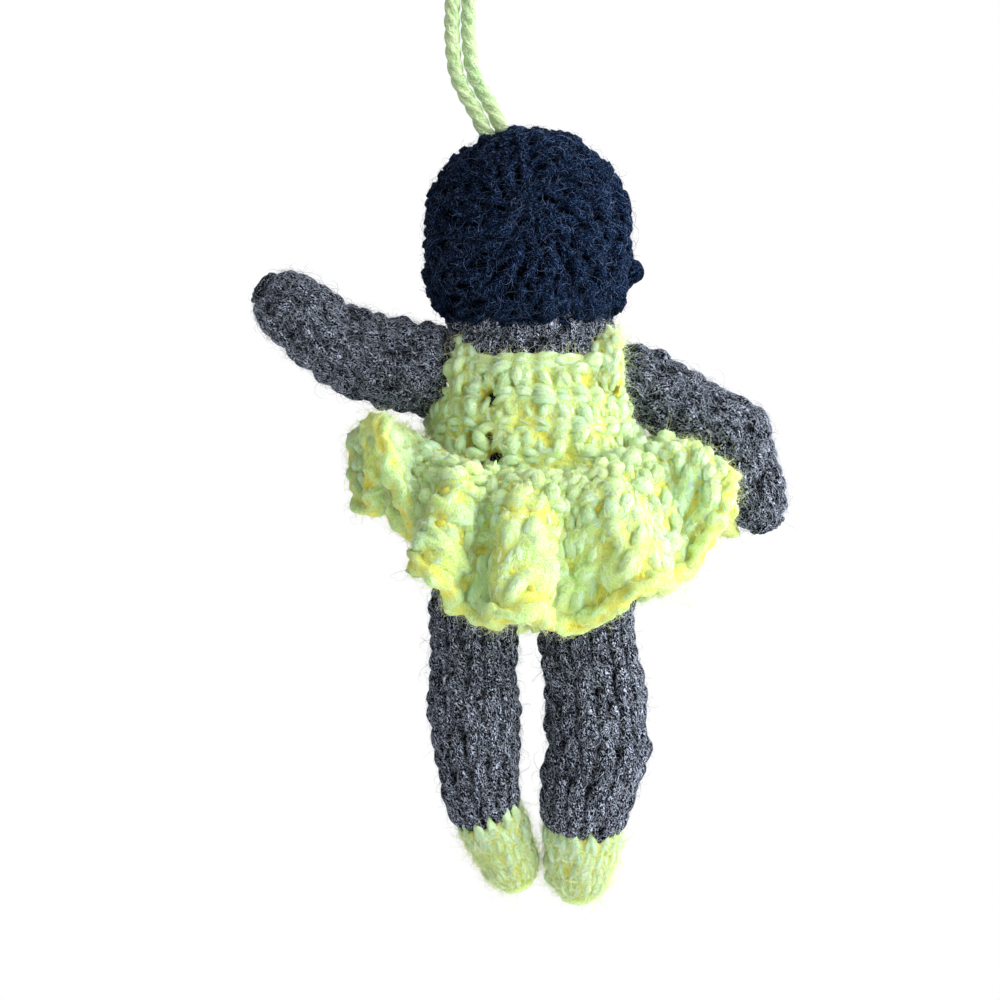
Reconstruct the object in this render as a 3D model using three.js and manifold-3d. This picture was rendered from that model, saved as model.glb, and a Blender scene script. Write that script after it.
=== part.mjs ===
// Crocheted ballerina ornament: a stuffed yarn doll in a ruffled skirt, hung by a loop of yarn.
// Millimetres, +Z up, the doll faces +Y and its left side is -X.
// The origin is the point where the loop rests on its hook.

import * as THREE from "three";
import { mergeVertices } from "three/addons/utils/BufferGeometryUtils.js";
import Module from "manifold-3d";

// Fits
const SEAT_GAP = 0.3; // between pieces that lie against each other
const SOCKET_GAP = 0.35; // round a limb's root in its socket
const FABRIC = 1.6; // thickness of the crocheted skin

// Hanging loop: one yarn that rises from the crown, turns over the hook and comes back
const LOOP_YARN = 2.3;
const LOOP_ROUTE = [
  [3.2, -89.0],
  [1.9, -86.2],
  [0.0, -82.9],
  [-1.3, -80.0],
  [-1.9, -76.6],
  [-2.15, -72.0],
  [-2.05, -67.6],
  [-1.75, -58.0],
  [-1.5, -47.0],
  [-1.7, -36.0],
  [-2.5, -25.0],
  [-3.6, -16.0],
  [-4.5, -9.0],
  [-4.8, -3.65],
  [-3.4, -0.25],
  [0.0, 1.15],
  [3.4, -0.25],
  [4.8, -3.65],
  [4.5, -9.0],
  [3.6, -16.0],
  [2.5, -25.0],
  [1.6, -36.0],
  [1.3, -47.0],
  [1.0, -58.0],
  [0.65, -67.6],
  [0.55, -72.0],
  [0.85, -76.3],
  [1.35, -79.4],
  [2.4, -81.7],
  [4.3, -85.0],
  [5.6, -87.8],
];
const LOOP_STEPS = 48;
const KNOT_AT = [5.7, -90.7]; // the loop's knot, which the head hangs on
const KNOT_RADIUS = 2.4;

// Head and hair
const HAIR_RADIUS = 16.95;
const HAIR_BELOW = 17.0; // from the head's centre to the pole of the hair's lower curve
const HAIR_EDGE_RADIUS = 10.0; // open lower edge of the hair
const HAIR_WALL = 1.7;
const KNOT_SINK = 1.5; // depth of the knot under the hair's surface
const KNOT_LEAN = THREE.MathUtils.degToRad(17.0); // of the knot from the crown, to the left
const HEAD_BELOW = 16.3; // from the head's centre to its flat underside
const HEAD_FLATNESS = 3.5; // exponent of the head's lower curve
const HEAD_OPENING = 5.5; // radius of the hole that the head is stuffed through
const FACE_HALF_WIDTH = 11.0; // opening of the hair round the face
const FACE_HALF_HEIGHT = 14.0;
const FACE_DROP = 7.0;
const BOBBLE_RADIUS = 2.1;
const BOBBLE_DROP = 6.5; // under the head's centre
const BOBBLE_PROUD = 0.2; // of its centre from the hair's surface
const EYE_RADIUS = 1.7;
const EYE_SIDE = 5.2;
const EYE_DROP = 2.0;
const MOUTH_YARN = 1.2;
const MOUTH_HALF_WIDTH = 3.0;
const MOUTH_DROP = 8.6;
const MOUTH_CURVE = 1.2;
const MOUTH_PROUD = 0.9; // of its centre line over the skin

// Torso, measured down from its open top
const TORSO_SHIFT = 1.1; // of the torso's axis to the right of the head's
const TORSO_LENGTH = 37.5;
const NECK_RADIUS = 7.2;
const SHOULDER_RADIUS = 12.0;
const SHOULDER_DROP = 3.2;
const CHEST_RADIUS = 14.7;
const CHEST_DROP = 11.0;
const WAIST_RADIUS = 16.0;
const WAIST_DROP = 18.1;
const HIP_RADIUS = 14.4;
const HIP_DROP = 31.5;
const SEAT_RADIUS = 8.5; // flat of the torso's underside
const DEPTH_TO_WIDTH = 0.8; // of the torso's oval section

// Leotard and straps
const LEOTARD_WALL = 1.8;
const NECKLINE_DROP = 3.0;
const STRAP_SIDE = 10.9;
const STRAP_WIDTH = 3.4;
const STRAP_THICK = 2.2;
const STRAP_RISE = 2.3; // of its middle over the torso's shoulder
const STRAP_FALL = 1.2; // from its middle to its bends
const STRAP_BEND = 0.6; // place of its bends, as a share of its reach

// Skirt
const SKIRT_THICK = 2.2;
const SKIRT_FOLDS = 10;
const SKIRT_REACH_LEFT = 12.0; // of the rim beyond the waist
const SKIRT_REACH_RIGHT = 13.5;
const SKIRT_REACH_BACK = 11.0; // and at the front and back alike
const SKIRT_DROP = 31.0; // of the rim under the waist, at the back
const SKIRT_SWEEP_LEFT = 1.8; // exponent of the rim's fall from the left side to the back
const SKIRT_SWEEP_RIGHT = 0.9;
const SKIRT_SIDE_FALL = 0.1; // share of the fall that the sides begin with
const SKIRT_OUT_POWER = 0.8; // how early the skirt leaves the waist outwards
const SKIRT_DOWN_POWER = 1.5; // and how late it turns down
const FOLD_SPREAD = 0.15; // widens the folds at the sides, which the arms hang between
const FOLD_REACH = 2.3; // half the waves of the rim, outwards
const FOLD_RISE_SIDE = 11.0; // and up and down
const FOLD_RISE_BACK = 1.2;
const FOLD_POWER = 8; // how closely the high folds keep to the sides

// Limbs: points of each centre line from its joint, with the radius at each point
const ARM_PROUD = 2.2; // of the shoulder joints beyond the leotard
const HIP_BELOW = 4.0; // of the hip joints under the leotard
const ARM_LEFT = {
  drop: 5.9,
  route: [
    [-6.8, 0, 1.9],
    [-13.4, 0, 4.3],
    [-18.5, 0, 7.4],
    [-22.3, 0, 10.4],
  ],
  radii: [7.4, 7.3, 6.8, 6.3, 6.0],
};
const ARM_RIGHT = {
  drop: 7.7,
  route: [
    [4.2, 0, -2.7],
    [8.2, 0, -5.8],
    [15.0, 0, -12.3],
    [17.9, 0, -19.5],
  ],
  radii: [6.9, 6.2, 6.2, 6.0, 5.5],
};
const LEG_LEFT = {
  side: -10.0,
  route: [
    [0.2, 0, -9.5],
    [0.4, 0, -19.1],
    [1.3, 0, -27.6],
    [2.9, 0.5, -35.2],
    [6.0, 2.5, -42.9],
  ],
  radii: [7.0, 7.1, 7.3, 6.8, 6.0, 5.1],
  shoe: 8.5,
};
const LEG_RIGHT = {
  side: 8.9,
  route: [
    [0.2, 0, -9.5],
    [1.0, 0, -19.1],
    [0.7, 0, -27.6],
    [-0.8, 0.5, -36.4],
    [-1.5, 2.5, -44.3],
  ],
  radii: [7.5, 7.9, 8.3, 8.1, 6.9, 5.6],
  shoe: 7.5,
};
const ROOT_OPENING = THREE.MathUtils.degToRad(50); // half angle of the open end of a limb

// Sewing yarn that ties the limbs and the neck, with a knot on each end
const TIE_RADIUS = 1.0;
const TIE_KNOT = 2.1;
const SHOULDER_TIE = 11.0;
const TIE_TILT_LEFT = THREE.MathUtils.degToRad(19);
const TIE_TILT_RIGHT = THREE.MathUtils.degToRad(-15);
const HIP_TIE = 13.0;
const NECK_TIE_UP = 7.0;
const NECK_TIE_DOWN = 9.0;

// Facets
const BODY_SIDES = 18;
const LIMB_SIDES = 12;
const SOCKET_SIDES = 16;
const TIE_SIDES = 8;
const KNOT_SIDES = 12;
const BEAD_SIDES = 10; // of the eyes and the bobble
const SKIRT_SIDES = 60;
const SKIRT_ROWS = 4;
const HEAD_RINGS = 11;
const TORSO_RINGS = 9;
const NECK_RINGS = 2;
const LIMB_RINGS = 6;
const SHOE_RINGS = 2;
const ROOT_RINGS = 3;
const TIP_RINGS = 4;
const KNOT_RINGS = 4;
const CUT_TOLERANCE = 0.02; // shortest edge that a cut leaves

const wasm = await Module();
wasm.setup();

// One closed body: shared corners merged, faces without area dropped, all faces pointing out
function closed(geometry) {
  const bare = geometry.clone();
  bare.deleteAttribute("normal");
  bare.deleteAttribute("uv");
  const merged = mergeVertices(bare, 1e-4);
  const corners = merged.getAttribute("position");
  const index = merged.getIndex().array;
  const point = (i) => new THREE.Vector3().fromBufferAttribute(corners, i);
  const kept = [];
  let volume = 0;
  for (let i = 0; i < index.length; i += 3) {
    const [a, b, c] = [index[i], index[i + 1], index[i + 2]];
    if (a === b || b === c || c === a) continue;
    kept.push(a, b, c);
    volume += point(a).dot(point(b).cross(point(c)));
  }
  if (volume < 0) kept.reverse();
  merged.setIndex(kept);
  return merged;
}

function toManifold(geometry) {
  const body = closed(geometry);
  const vertProperties = new Float32Array(body.getAttribute("position").array);
  const triVerts = new Uint32Array(body.getIndex().array);
  const mesh = new wasm.Mesh({ numProp: 3, vertProperties, triVerts, tolerance: CUT_TOLERANCE });
  return new wasm.Manifold(mesh);
}

function toGeometry(manifold) {
  const mesh = manifold.getMesh();
  const geometry = new THREE.BufferGeometry();
  geometry.setAttribute("position", new THREE.BufferAttribute(mesh.vertProperties, 3));
  geometry.setIndex(new THREE.BufferAttribute(mesh.triVerts, 1));
  return geometry;
}

function cut(geometry, cutters) {
  let body = toManifold(geometry);
  for (const cutter of cutters) body = body.subtract(toManifold(cutter));
  return toGeometry(body);
}

function ball(radius, at, sides = BODY_SIDES) {
  return new THREE.SphereGeometry(radius, sides, Math.round(sides / 2)).translate(at.x, at.y, at.z);
}

// A body turned about Z from points of radius and height
function turned(profile, sides) {
  return new THREE.LatheGeometry(profile, sides).rotateX(Math.PI / 2);
}

// A profile from a rim to the axis, moved along its own normals, inwards for a positive depth
function inset(profile, depth) {
  const by = profile.at(-1).y < profile[0].y ? depth : -depth;
  return profile.map((point, i) => {
    const before = profile[Math.max(i - 1, 0)];
    const after = profile[Math.min(i + 1, profile.length - 1)];
    const along = after.clone().sub(before).normalize();
    if (point.x < 1e-6) along.set(-1, 0);
    return new THREE.Vector2(Math.max(point.x + along.y * by, 0), point.y - along.x * by);
  });
}

// A wall between two profiles that run from a rim to the axis
function shellProfile(outer, inner) {
  return [...inner].reverse().concat(outer);
}

// A solid from a profile that runs from a rim to the axis, with a flat end on the rim
function plugProfile(profile) {
  return [new THREE.Vector2(0, profile[0].y), ...profile];
}

// Radius of the head, or of the hair over it, at a height from the head's centre
function headRadius(radius, below, height) {
  const power = height < 0 ? HEAD_FLATNESS : 2;
  const share = Math.abs(height) / (height < 0 ? below : radius);
  return radius * Math.pow(Math.max(1 - Math.pow(share, power), 0), 1 / power);
}

// Profile of the head from an open lower edge up to the crown
function headProfile(radius, below, edge) {
  const bottom = -below * Math.pow(1 - Math.pow(edge / radius, HEAD_FLATNESS), 1 / HEAD_FLATNESS);
  const start = Math.asin(bottom / below);
  const profile = [];
  for (let i = 0; i <= HEAD_RINGS; i += 1) {
    const angle = THREE.MathUtils.lerp(start, Math.PI / 2, i / HEAD_RINGS);
    const height = Math.sin(angle) * (angle < 0 ? below : radius);
    const across = i === 0 ? edge : headRadius(radius, below, height);
    profile.push(new THREE.Vector2(i === HEAD_RINGS ? 0 : across, height));
  }
  return profile;
}

// Half width of the torso at a depth under its top
const torsoWidth = new THREE.CubicInterpolant(
  [0, SHOULDER_DROP, CHEST_DROP, WAIST_DROP, HIP_DROP, TORSO_LENGTH],
  [NECK_RADIUS, SHOULDER_RADIUS, CHEST_RADIUS, WAIST_RADIUS, HIP_RADIUS, SEAT_RADIUS],
  1,
);

// Profile of the torso from the leotard's neckline down to the axis
function torsoBelowNeckline() {
  const profile = [];
  for (let i = 0; i <= TORSO_RINGS; i += 1) {
    const depth = THREE.MathUtils.lerp(NECKLINE_DROP, TORSO_LENGTH, i / TORSO_RINGS);
    profile.push(new THREE.Vector2(torsoWidth.evaluate(depth)[0], -depth));
  }
  profile.push(new THREE.Vector2(0, -TORSO_LENGTH));
  return profile;
}

function torsoAboveNeckline() {
  const profile = [];
  for (let i = 0; i < NECK_RINGS; i += 1) {
    const depth = (NECKLINE_DROP * i) / NECK_RINGS;
    profile.push(new THREE.Vector2(torsoWidth.evaluate(depth)[0], -depth));
  }
  return profile;
}

function oval(geometry) {
  return geometry.scale(1, DEPTH_TO_WIDTH, 1);
}

// The centre line and the radius of a limb, with its length from the joint to the last point
function limbForm(limb) {
  const points = [new THREE.Vector3(), ...limb.route.map((at) => new THREE.Vector3(...at))];
  const curve = new THREE.CatmullRomCurve3(points);
  const length = curve.getLength();
  const spans = points.length - 1;
  const lengths = curve.getLengths(spans * 40);
  const stations = points.map((point, i) => lengths[i * 40]);
  const radius = new THREE.CubicInterpolant(stations, limb.radii, 1);
  return { curve, length, root: limb.radii[0], tip: limb.radii.at(-1), radius };
}

// Profile of a limb, as radius and distance from the joint, over a stretch of its length
function limbProfile(form, by, from, to, rings) {
  const profile = [];
  for (let i = 0; i <= rings; i += 1) {
    const along = THREE.MathUtils.lerp(from, to, i / rings);
    profile.push(new THREE.Vector2(form.radius.evaluate(along)[0] - by, along));
  }
  return profile;
}

function rootProfile(form, by) {
  const profile = [];
  for (let i = 0; i < ROOT_RINGS; i += 1) {
    const angle = THREE.MathUtils.lerp(ROOT_OPENING, Math.PI / 2, i / ROOT_RINGS);
    const radius = form.root - by;
    profile.push(new THREE.Vector2(radius * Math.sin(angle), -radius * Math.cos(angle)));
  }
  return profile;
}

function tipProfile(form, by) {
  const profile = [];
  for (let i = 1; i <= TIP_RINGS; i += 1) {
    const angle = (i / TIP_RINGS) * (Math.PI / 2);
    const radius = form.tip - by;
    const across = i === TIP_RINGS ? 0 : radius * Math.cos(angle);
    profile.push(new THREE.Vector2(across, form.length + radius * Math.sin(angle)));
  }
  return profile;
}

// A turned body laid along a limb's centre line
function alongLimb(profile, form) {
  const geometry = new THREE.LatheGeometry(profile, LIMB_SIDES);
  const corners = geometry.getAttribute("position");
  for (let i = 0; i < corners.count; i += 1) {
    const corner = new THREE.Vector3().fromBufferAttribute(corners, i);
    const share = THREE.MathUtils.clamp(corner.y / form.length, 0, 1);
    const forward = form.curve.getTangentAt(share);
    const fore = new THREE.Vector3(0, 1, 0).projectOnPlane(forward).normalize();
    const side = forward.clone().cross(fore);
    const place = form.curve.getPointAt(share);
    place.addScaledVector(forward, corner.y - share * form.length);
    place.addScaledVector(side, corner.x).addScaledVector(fore, corner.z);
    corners.setXYZ(i, place.x, place.y, place.z);
  }
  return geometry;
}

// The fibrefill of a limb, hollow at its root for the tie and its knot
function limbStuffing(form) {
  const by = FABRIC + SEAT_GAP;
  const room = TIE_KNOT + SEAT_GAP;
  const hollow = [];
  for (let i = 0; i <= KNOT_RINGS; i += 1) {
    const angle = THREE.MathUtils.lerp(Math.PI, ROOT_OPENING, i / KNOT_RINGS);
    hollow.push(new THREE.Vector2(i === 0 ? 0 : room * Math.sin(angle), -room * Math.cos(angle)));
  }
  const profile = hollow.concat(
    rootProfile(form, by),
    limbProfile(form, by, 0, form.length, LIMB_RINGS + 1),
    tipProfile(form, by),
  );
  return alongLimb(profile, form);
}

function armShell(form) {
  const wall = (by) =>
    rootProfile(form, by).concat(limbProfile(form, by, 0, form.length, LIMB_RINGS), tipProfile(form, by));
  return alongLimb(shellProfile(wall(0), wall(FABRIC)), form);
}

function legShell(form, shoe) {
  const ankle = form.length - shoe - SEAT_GAP;
  const wall = (by) => rootProfile(form, by).concat(limbProfile(form, by, 0, ankle, LIMB_RINGS));
  const outer = wall(0);
  return alongLimb([...outer, ...wall(FABRIC).reverse(), outer[0].clone()], form);
}

function shoeShell(form, shoe) {
  const cuff = form.length - shoe;
  const wall = (by) => limbProfile(form, by, cuff, form.length, SHOE_RINGS).concat(tipProfile(form, by));
  return alongLimb(shellProfile(wall(0), wall(FABRIC)), form);
}

// A yarn with a round knot on each end, from a point along a direction
function tie(from, direction, length, grow = 0) {
  const thread = TIE_RADIUS + grow;
  const knot = TIE_KNOT + grow;
  const neck = Math.asin(thread / knot);
  const profile = [];
  for (let i = 0; i <= KNOT_RINGS; i += 1) {
    const angle = THREE.MathUtils.lerp(Math.PI, neck, i / KNOT_RINGS);
    profile.push(new THREE.Vector2(i === 0 ? 0 : knot * Math.sin(angle), knot * Math.cos(angle)));
  }
  const far = profile.map((point) => new THREE.Vector2(point.x, length - point.y)).reverse();
  const turn = new THREE.Quaternion().setFromUnitVectors(new THREE.Vector3(0, 1, 0), direction);
  const geometry = new THREE.LatheGeometry(profile.concat(far), TIE_SIDES);
  return geometry.applyQuaternion(turn).translate(from.x, from.y, from.z);
}

// A point of the skirt's middle surface: angle round the waist, and share from waist to rim
function skirtPoint(angle, share) {
  const waist = WAIST_RADIUS + SEAT_GAP + LEOTARD_WALL + SEAT_GAP + SKIRT_THICK / 2;
  const across = Math.cos(angle);
  const back = Math.sin(angle);
  const rightness = (1 + across) / 2;
  const fold = Math.cos(SKIRT_FOLDS * (angle - FOLD_SPREAD * Math.sin(2 * angle))) * share;
  const out = Math.pow(share, SKIRT_OUT_POWER);
  const down = Math.pow(share, SKIRT_DOWN_POWER);
  const side = THREE.MathUtils.lerp(SKIRT_REACH_LEFT, SKIRT_REACH_RIGHT, rightness);
  const sweep = THREE.MathUtils.lerp(SKIRT_SWEEP_LEFT, SKIRT_SWEEP_RIGHT, rightness);
  const drop = SKIRT_DROP * Math.pow(Math.hypot(back, SKIRT_SIDE_FALL), sweep);
  const rise = THREE.MathUtils.lerp(FOLD_RISE_BACK, FOLD_RISE_SIDE, Math.pow(Math.abs(across), FOLD_POWER));
  const x = across * (waist + side * out - FOLD_REACH * fold);
  const y = back * (waist * DEPTH_TO_WIDTH + SKIRT_REACH_BACK * out - FOLD_REACH * fold);
  return new THREE.Vector3(x, y, -WAIST_DROP - drop * down - rise * fold);
}

function skirtNormal(angle, share) {
  const step = 0.01;
  const round = skirtPoint(angle + step, share).sub(skirtPoint(angle - step, share));
  const down = skirtPoint(angle, share + step).sub(skirtPoint(angle, Math.max(share - step, 0)));
  return down.cross(round).normalize();
}

// The ruffle starts as a flat ring, whose radius tells how far each corner lies from the waist
function skirtSheet() {
  const ring = [];
  for (let i = 0; i <= SKIRT_ROWS; i += 1) ring.push(new THREE.Vector2(1 + i / SKIRT_ROWS, 1));
  for (let i = SKIRT_ROWS; i >= 0; i -= 1) ring.push(new THREE.Vector2(1 + i / SKIRT_ROWS, -1));
  ring.push(ring[0].clone());
  const geometry = turned(ring, SKIRT_SIDES);
  const corners = geometry.getAttribute("position");
  for (let i = 0; i < corners.count; i += 1) {
    const corner = new THREE.Vector3().fromBufferAttribute(corners, i);
    const angle = Math.atan2(corner.y, corner.x);
    const share = Math.max(Math.hypot(corner.x, corner.y) - 1, 0);
    const normal = skirtNormal(angle, share);
    const place = skirtPoint(angle, share).addScaledVector(normal, (corner.z * SKIRT_THICK) / 2);
    corners.setXYZ(i, place.x, place.y, place.z);
  }
  return geometry;
}

// Materials of the yarns
const YARNS = {
  skin: new THREE.Color(0x5d5254),
  yellow: new THREE.Color(0xdce87a),
  loop: new THREE.Color(0xd2e690),
  hair: new THREE.Color(0x12141c),
  filling: new THREE.Color(0xf2f0ea),
  mouth: new THREE.Color(0x9c4a52),
};

function piece(name, geometry, yarn) {
  const material = new THREE.MeshStandardMaterial({ color: YARNS[yarn], roughness: 0.95, metalness: 0 });
  const mesh = new THREE.Mesh(closed(geometry), material);
  mesh.name = name;
  return mesh;
}

function assembly(at, meshes) {
  const group = new THREE.Group();
  group.position.copy(at);
  group.add(...meshes);
  return group;
}

const origin = new THREE.Vector3();
const up = new THREE.Vector3(0, 0, 1);

// Loop
const loopCurve = new THREE.CatmullRomCurve3(LOOP_ROUTE.map(([x, z]) => new THREE.Vector3(x, 0, z)));
const loopSection = new THREE.Shape().absarc(0, 0, LOOP_YARN / 2, 0, 2 * Math.PI);
const loopStrand = new THREE.ExtrudeGeometry(loopSection, {
  steps: LOOP_STEPS,
  curveSegments: 4,
  extrudePath: loopCurve,
});
const knotAt = new THREE.Vector3(KNOT_AT[0], 0, KNOT_AT[1]);
const loop = assembly(origin, [
  piece("hanging_loop", loopStrand, "loop"),
  piece("loop_knot", ball(KNOT_RADIUS, knotAt, KNOT_SIDES), "loop"),
]);

// Head, about its own centre
const knotOut = new THREE.Vector3(-Math.sin(KNOT_LEAN), 0, Math.cos(KNOT_LEAN));
const knotInHead = knotOut.multiplyScalar(HAIR_RADIUS - KNOT_SINK);
const headAt = knotAt.clone().sub(knotInHead);
const torsoInHead = new THREE.Vector3(TORSO_SHIFT, 0, -HEAD_BELOW - SEAT_GAP);
const neckInTorso = new THREE.Vector3(-TORSO_SHIFT, 0, -NECK_TIE_DOWN);
const neckInHead = neckInTorso.clone().add(torsoInHead);
const neckLength = NECK_TIE_UP + NECK_TIE_DOWN;
const knotPocket = ball(KNOT_RADIUS + SEAT_GAP, knotInHead, KNOT_SIDES);
const neckRoom = tie(neckInHead, up, neckLength, SEAT_GAP);

const skullRadius = HAIR_RADIUS - HAIR_WALL - SEAT_GAP;
const skull = headProfile(skullRadius, HEAD_BELOW, HEAD_OPENING);
const skullSeat = turned(plugProfile(inset(skull, -SEAT_GAP)), BODY_SIDES);
const headShell = turned(shellProfile(skull, inset(skull, FABRIC)), BODY_SIDES);
const headFilling = turned(plugProfile(inset(skull, FABRIC + SEAT_GAP)), BODY_SIDES);

const hairOuter = headProfile(HAIR_RADIUS, HAIR_BELOW, HAIR_EDGE_RADIUS);
const hairSeat = turned(plugProfile(inset(hairOuter, -SEAT_GAP)), BODY_SIDES);
const hairLip = HAIR_EDGE_RADIUS - HAIR_WALL / 2;
const hairInner = headProfile(skullRadius + SEAT_GAP, HEAD_BELOW + SEAT_GAP, hairLip);
const hairShell = turned(shellProfile(hairOuter, hairInner), BODY_SIDES);
const faceOpening = new THREE.CylinderGeometry(1, 1, HAIR_RADIUS * 2, BODY_SIDES)
  .scale(FACE_HALF_WIDTH, 1, FACE_HALF_HEIGHT)
  .translate(0, HAIR_RADIUS + KNOT_RADIUS, -FACE_DROP);

const bobbleOut = headRadius(HAIR_RADIUS, HAIR_BELOW, -BOBBLE_DROP) + BOBBLE_PROUD;
const bobble = ball(BOBBLE_RADIUS, new THREE.Vector3(bobbleOut, 0, -BOBBLE_DROP), BEAD_SIDES);

function onFace(side, drop, proud) {
  const radius = headRadius(skullRadius, HEAD_BELOW, -drop) + proud;
  return new THREE.Vector3(side, Math.sqrt(radius * radius - side * side), -drop);
}

function eye(side) {
  return cut(ball(EYE_RADIUS, onFace(side, EYE_DROP, 0), BEAD_SIDES), [skullSeat]);
}

const mouthPoints = [-1, -0.5, 0, 0.5, 1].map((share) => {
  const drop = MOUTH_DROP + MOUTH_CURVE * (1 - share * share);
  return onFace(share * MOUTH_HALF_WIDTH, drop, SEAT_GAP + MOUTH_PROUD);
});
const mouthSection = new THREE.Shape().absarc(0, 0, MOUTH_YARN / 2, 0, 2 * Math.PI);
const mouth = new THREE.ExtrudeGeometry(mouthSection, {
  steps: 8,
  curveSegments: 3,
  extrudePath: new THREE.CatmullRomCurve3(mouthPoints),
});

const head = assembly(headAt, [
  piece("head_shell", cut(headShell, [knotPocket]), "skin"),
  piece("head_stuffing", cut(headFilling, [knotPocket, neckRoom]), "filling"),
  piece("hair_cap", cut(hairShell, [knotPocket, faceOpening]), "hair"),
  piece("hair_bobble", cut(bobble, [hairSeat]), "hair"),
  piece("eye_left", eye(-EYE_SIDE), "hair"),
  piece("eye_right", eye(EYE_SIDE), "hair"),
  piece("mouth_stitch", mouth, "mouth"),
]);

// Torso, from the middle of its open top
const torsoAt = headAt.clone().add(torsoInHead);
const leotardOut = SEAT_GAP + LEOTARD_WALL;

function shoulderAt(limb, sign) {
  const out = torsoWidth.evaluate(limb.drop)[0] + leotardOut + ARM_PROUD;
  return new THREE.Vector3(sign * out, 0, -limb.drop);
}

function hipAt(limb) {
  return new THREE.Vector3(limb.side, 0, -TORSO_LENGTH - leotardOut - HIP_BELOW);
}

const inward = (sign, tilt) => new THREE.Vector3(-sign * Math.cos(tilt), 0, -Math.sin(tilt));
const joints = {
  arm_left: { at: shoulderAt(ARM_LEFT, -1), tie: inward(-1, TIE_TILT_LEFT), length: SHOULDER_TIE },
  arm_right: { at: shoulderAt(ARM_RIGHT, 1), tie: inward(1, TIE_TILT_RIGHT), length: SHOULDER_TIE },
  leg_left: { at: hipAt(LEG_LEFT), tie: up, length: HIP_TIE },
  leg_right: { at: hipAt(LEG_RIGHT), tie: up, length: HIP_TIE },
};
const forms = {
  arm_left: limbForm(ARM_LEFT),
  arm_right: limbForm(ARM_RIGHT),
  leg_left: limbForm(LEG_LEFT),
  leg_right: limbForm(LEG_RIGHT),
};
const limbs = Object.keys(joints);
const socketOf = (limb) => ball(forms[limb].root + SOCKET_GAP, joints[limb].at, SOCKET_SIDES);
const tieOf = (limb, grow) => tie(joints[limb].at, joints[limb].tie, joints[limb].length, grow);
const sockets = limbs.map((limb) => socketOf(limb));
const tieRooms = limbs.map((limb) => tieOf(limb, SEAT_GAP));
tieRooms.push(tie(neckInTorso, up, neckLength, SEAT_GAP));

const leotardLine = torsoBelowNeckline();
const torsoOuter = torsoAboveNeckline().concat(leotardLine);
const torsoShell = oval(turned(shellProfile(torsoOuter, inset(torsoOuter, FABRIC)), BODY_SIDES));
const torsoFilling = oval(turned(plugProfile(inset(torsoOuter, FABRIC + SEAT_GAP)), BODY_SIDES));
const torsoSeat = oval(turned(plugProfile(inset(torsoOuter, -SEAT_GAP)), BODY_SIDES));

const leotardInner = inset(leotardLine, -SEAT_GAP);
const leotardOuter = inset(leotardLine, -leotardOut);
const leotardShell = oval(turned(shellProfile(leotardOuter, leotardInner), BODY_SIDES));
const leotardSeat = oval(turned(plugProfile(inset(leotardLine, -leotardOut - SEAT_GAP)), BODY_SIDES));

// A strap arches over the shoulder between the front and the back of the neckline
function strap(sign) {
  const reach = (SHOULDER_RADIUS + leotardOut) * DEPTH_TO_WIDTH;
  const top = STRAP_RISE - SHOULDER_DROP;
  const points = [
    [-reach, -NECKLINE_DROP - STRAP_THICK],
    [-reach * STRAP_BEND, top - STRAP_FALL],
    [0, top],
    [reach * STRAP_BEND, top - STRAP_FALL],
    [reach, -NECKLINE_DROP - STRAP_THICK],
  ].map(([y, z]) => new THREE.Vector3(sign * STRAP_SIDE, y, z));
  const section = new THREE.Shape().absellipse(0, 0, STRAP_WIDTH / 2, STRAP_THICK / 2, 0, 2 * Math.PI);
  return new THREE.ExtrudeGeometry(section, {
    steps: 8,
    curveSegments: 4,
    extrudePath: new THREE.CatmullRomCurve3(points),
  });
}

const torso = assembly(torsoAt, [
  piece("torso_shell", cut(torsoShell, [...sockets, ...tieRooms]), "skin"),
  piece("torso_stuffing", cut(torsoFilling, [...sockets, ...tieRooms]), "filling"),
  piece("leotard", cut(leotardShell, [...sockets, ...tieRooms]), "yellow"),
  piece("strap_left", cut(strap(-1), [torsoSeat, leotardSeat, ...sockets]), "yellow"),
  piece("strap_right", cut(strap(1), [torsoSeat, leotardSeat, ...sockets]), "yellow"),
  piece("skirt", skirtSheet(), "yellow"),
  piece("neck_tie", tie(neckInTorso, up, neckLength), "skin"),
  piece("shoulder_tie_left", tieOf("arm_left"), "skin"),
  piece("shoulder_tie_right", tieOf("arm_right"), "skin"),
  piece("hip_tie_left", tieOf("leg_left"), "skin"),
  piece("hip_tie_right", tieOf("leg_right"), "skin"),
]);

// Limbs, each from its own joint
function arm(limb) {
  return assembly(torsoAt.clone().add(joints[limb].at), [
    piece(`${limb}_shell`, armShell(forms[limb]), "skin"),
    piece(`${limb}_stuffing`, limbStuffing(forms[limb]), "filling"),
  ]);
}

function leg(limb, shoe, side) {
  return assembly(torsoAt.clone().add(joints[limb].at), [
    piece(`${limb}_shell`, legShell(forms[limb], shoe), "skin"),
    piece(`${limb}_stuffing`, limbStuffing(forms[limb]), "filling"),
    piece(`shoe_${side}`, shoeShell(forms[limb], shoe), "yellow"),
  ]);
}

const ballerina = new THREE.Group();
ballerina.add(loop, head, torso, arm("arm_left"), arm("arm_right"));
ballerina.add(leg("leg_left", LEG_LEFT.shoe, "left"), leg("leg_right", LEG_RIGHT.shoe, "right"));

export default ballerina;
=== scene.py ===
# Crocheted ballerina ornament: a stuffed yarn doll in a ruffled skirt, hung by a loop of yarn.
# The camera stands behind the doll. Each skin, garment and hair piece is laid stitch by stitch in strands
# of yarn, a soft nap drapes over the stitches, and loose fibres stand off the nap.
import math

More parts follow.
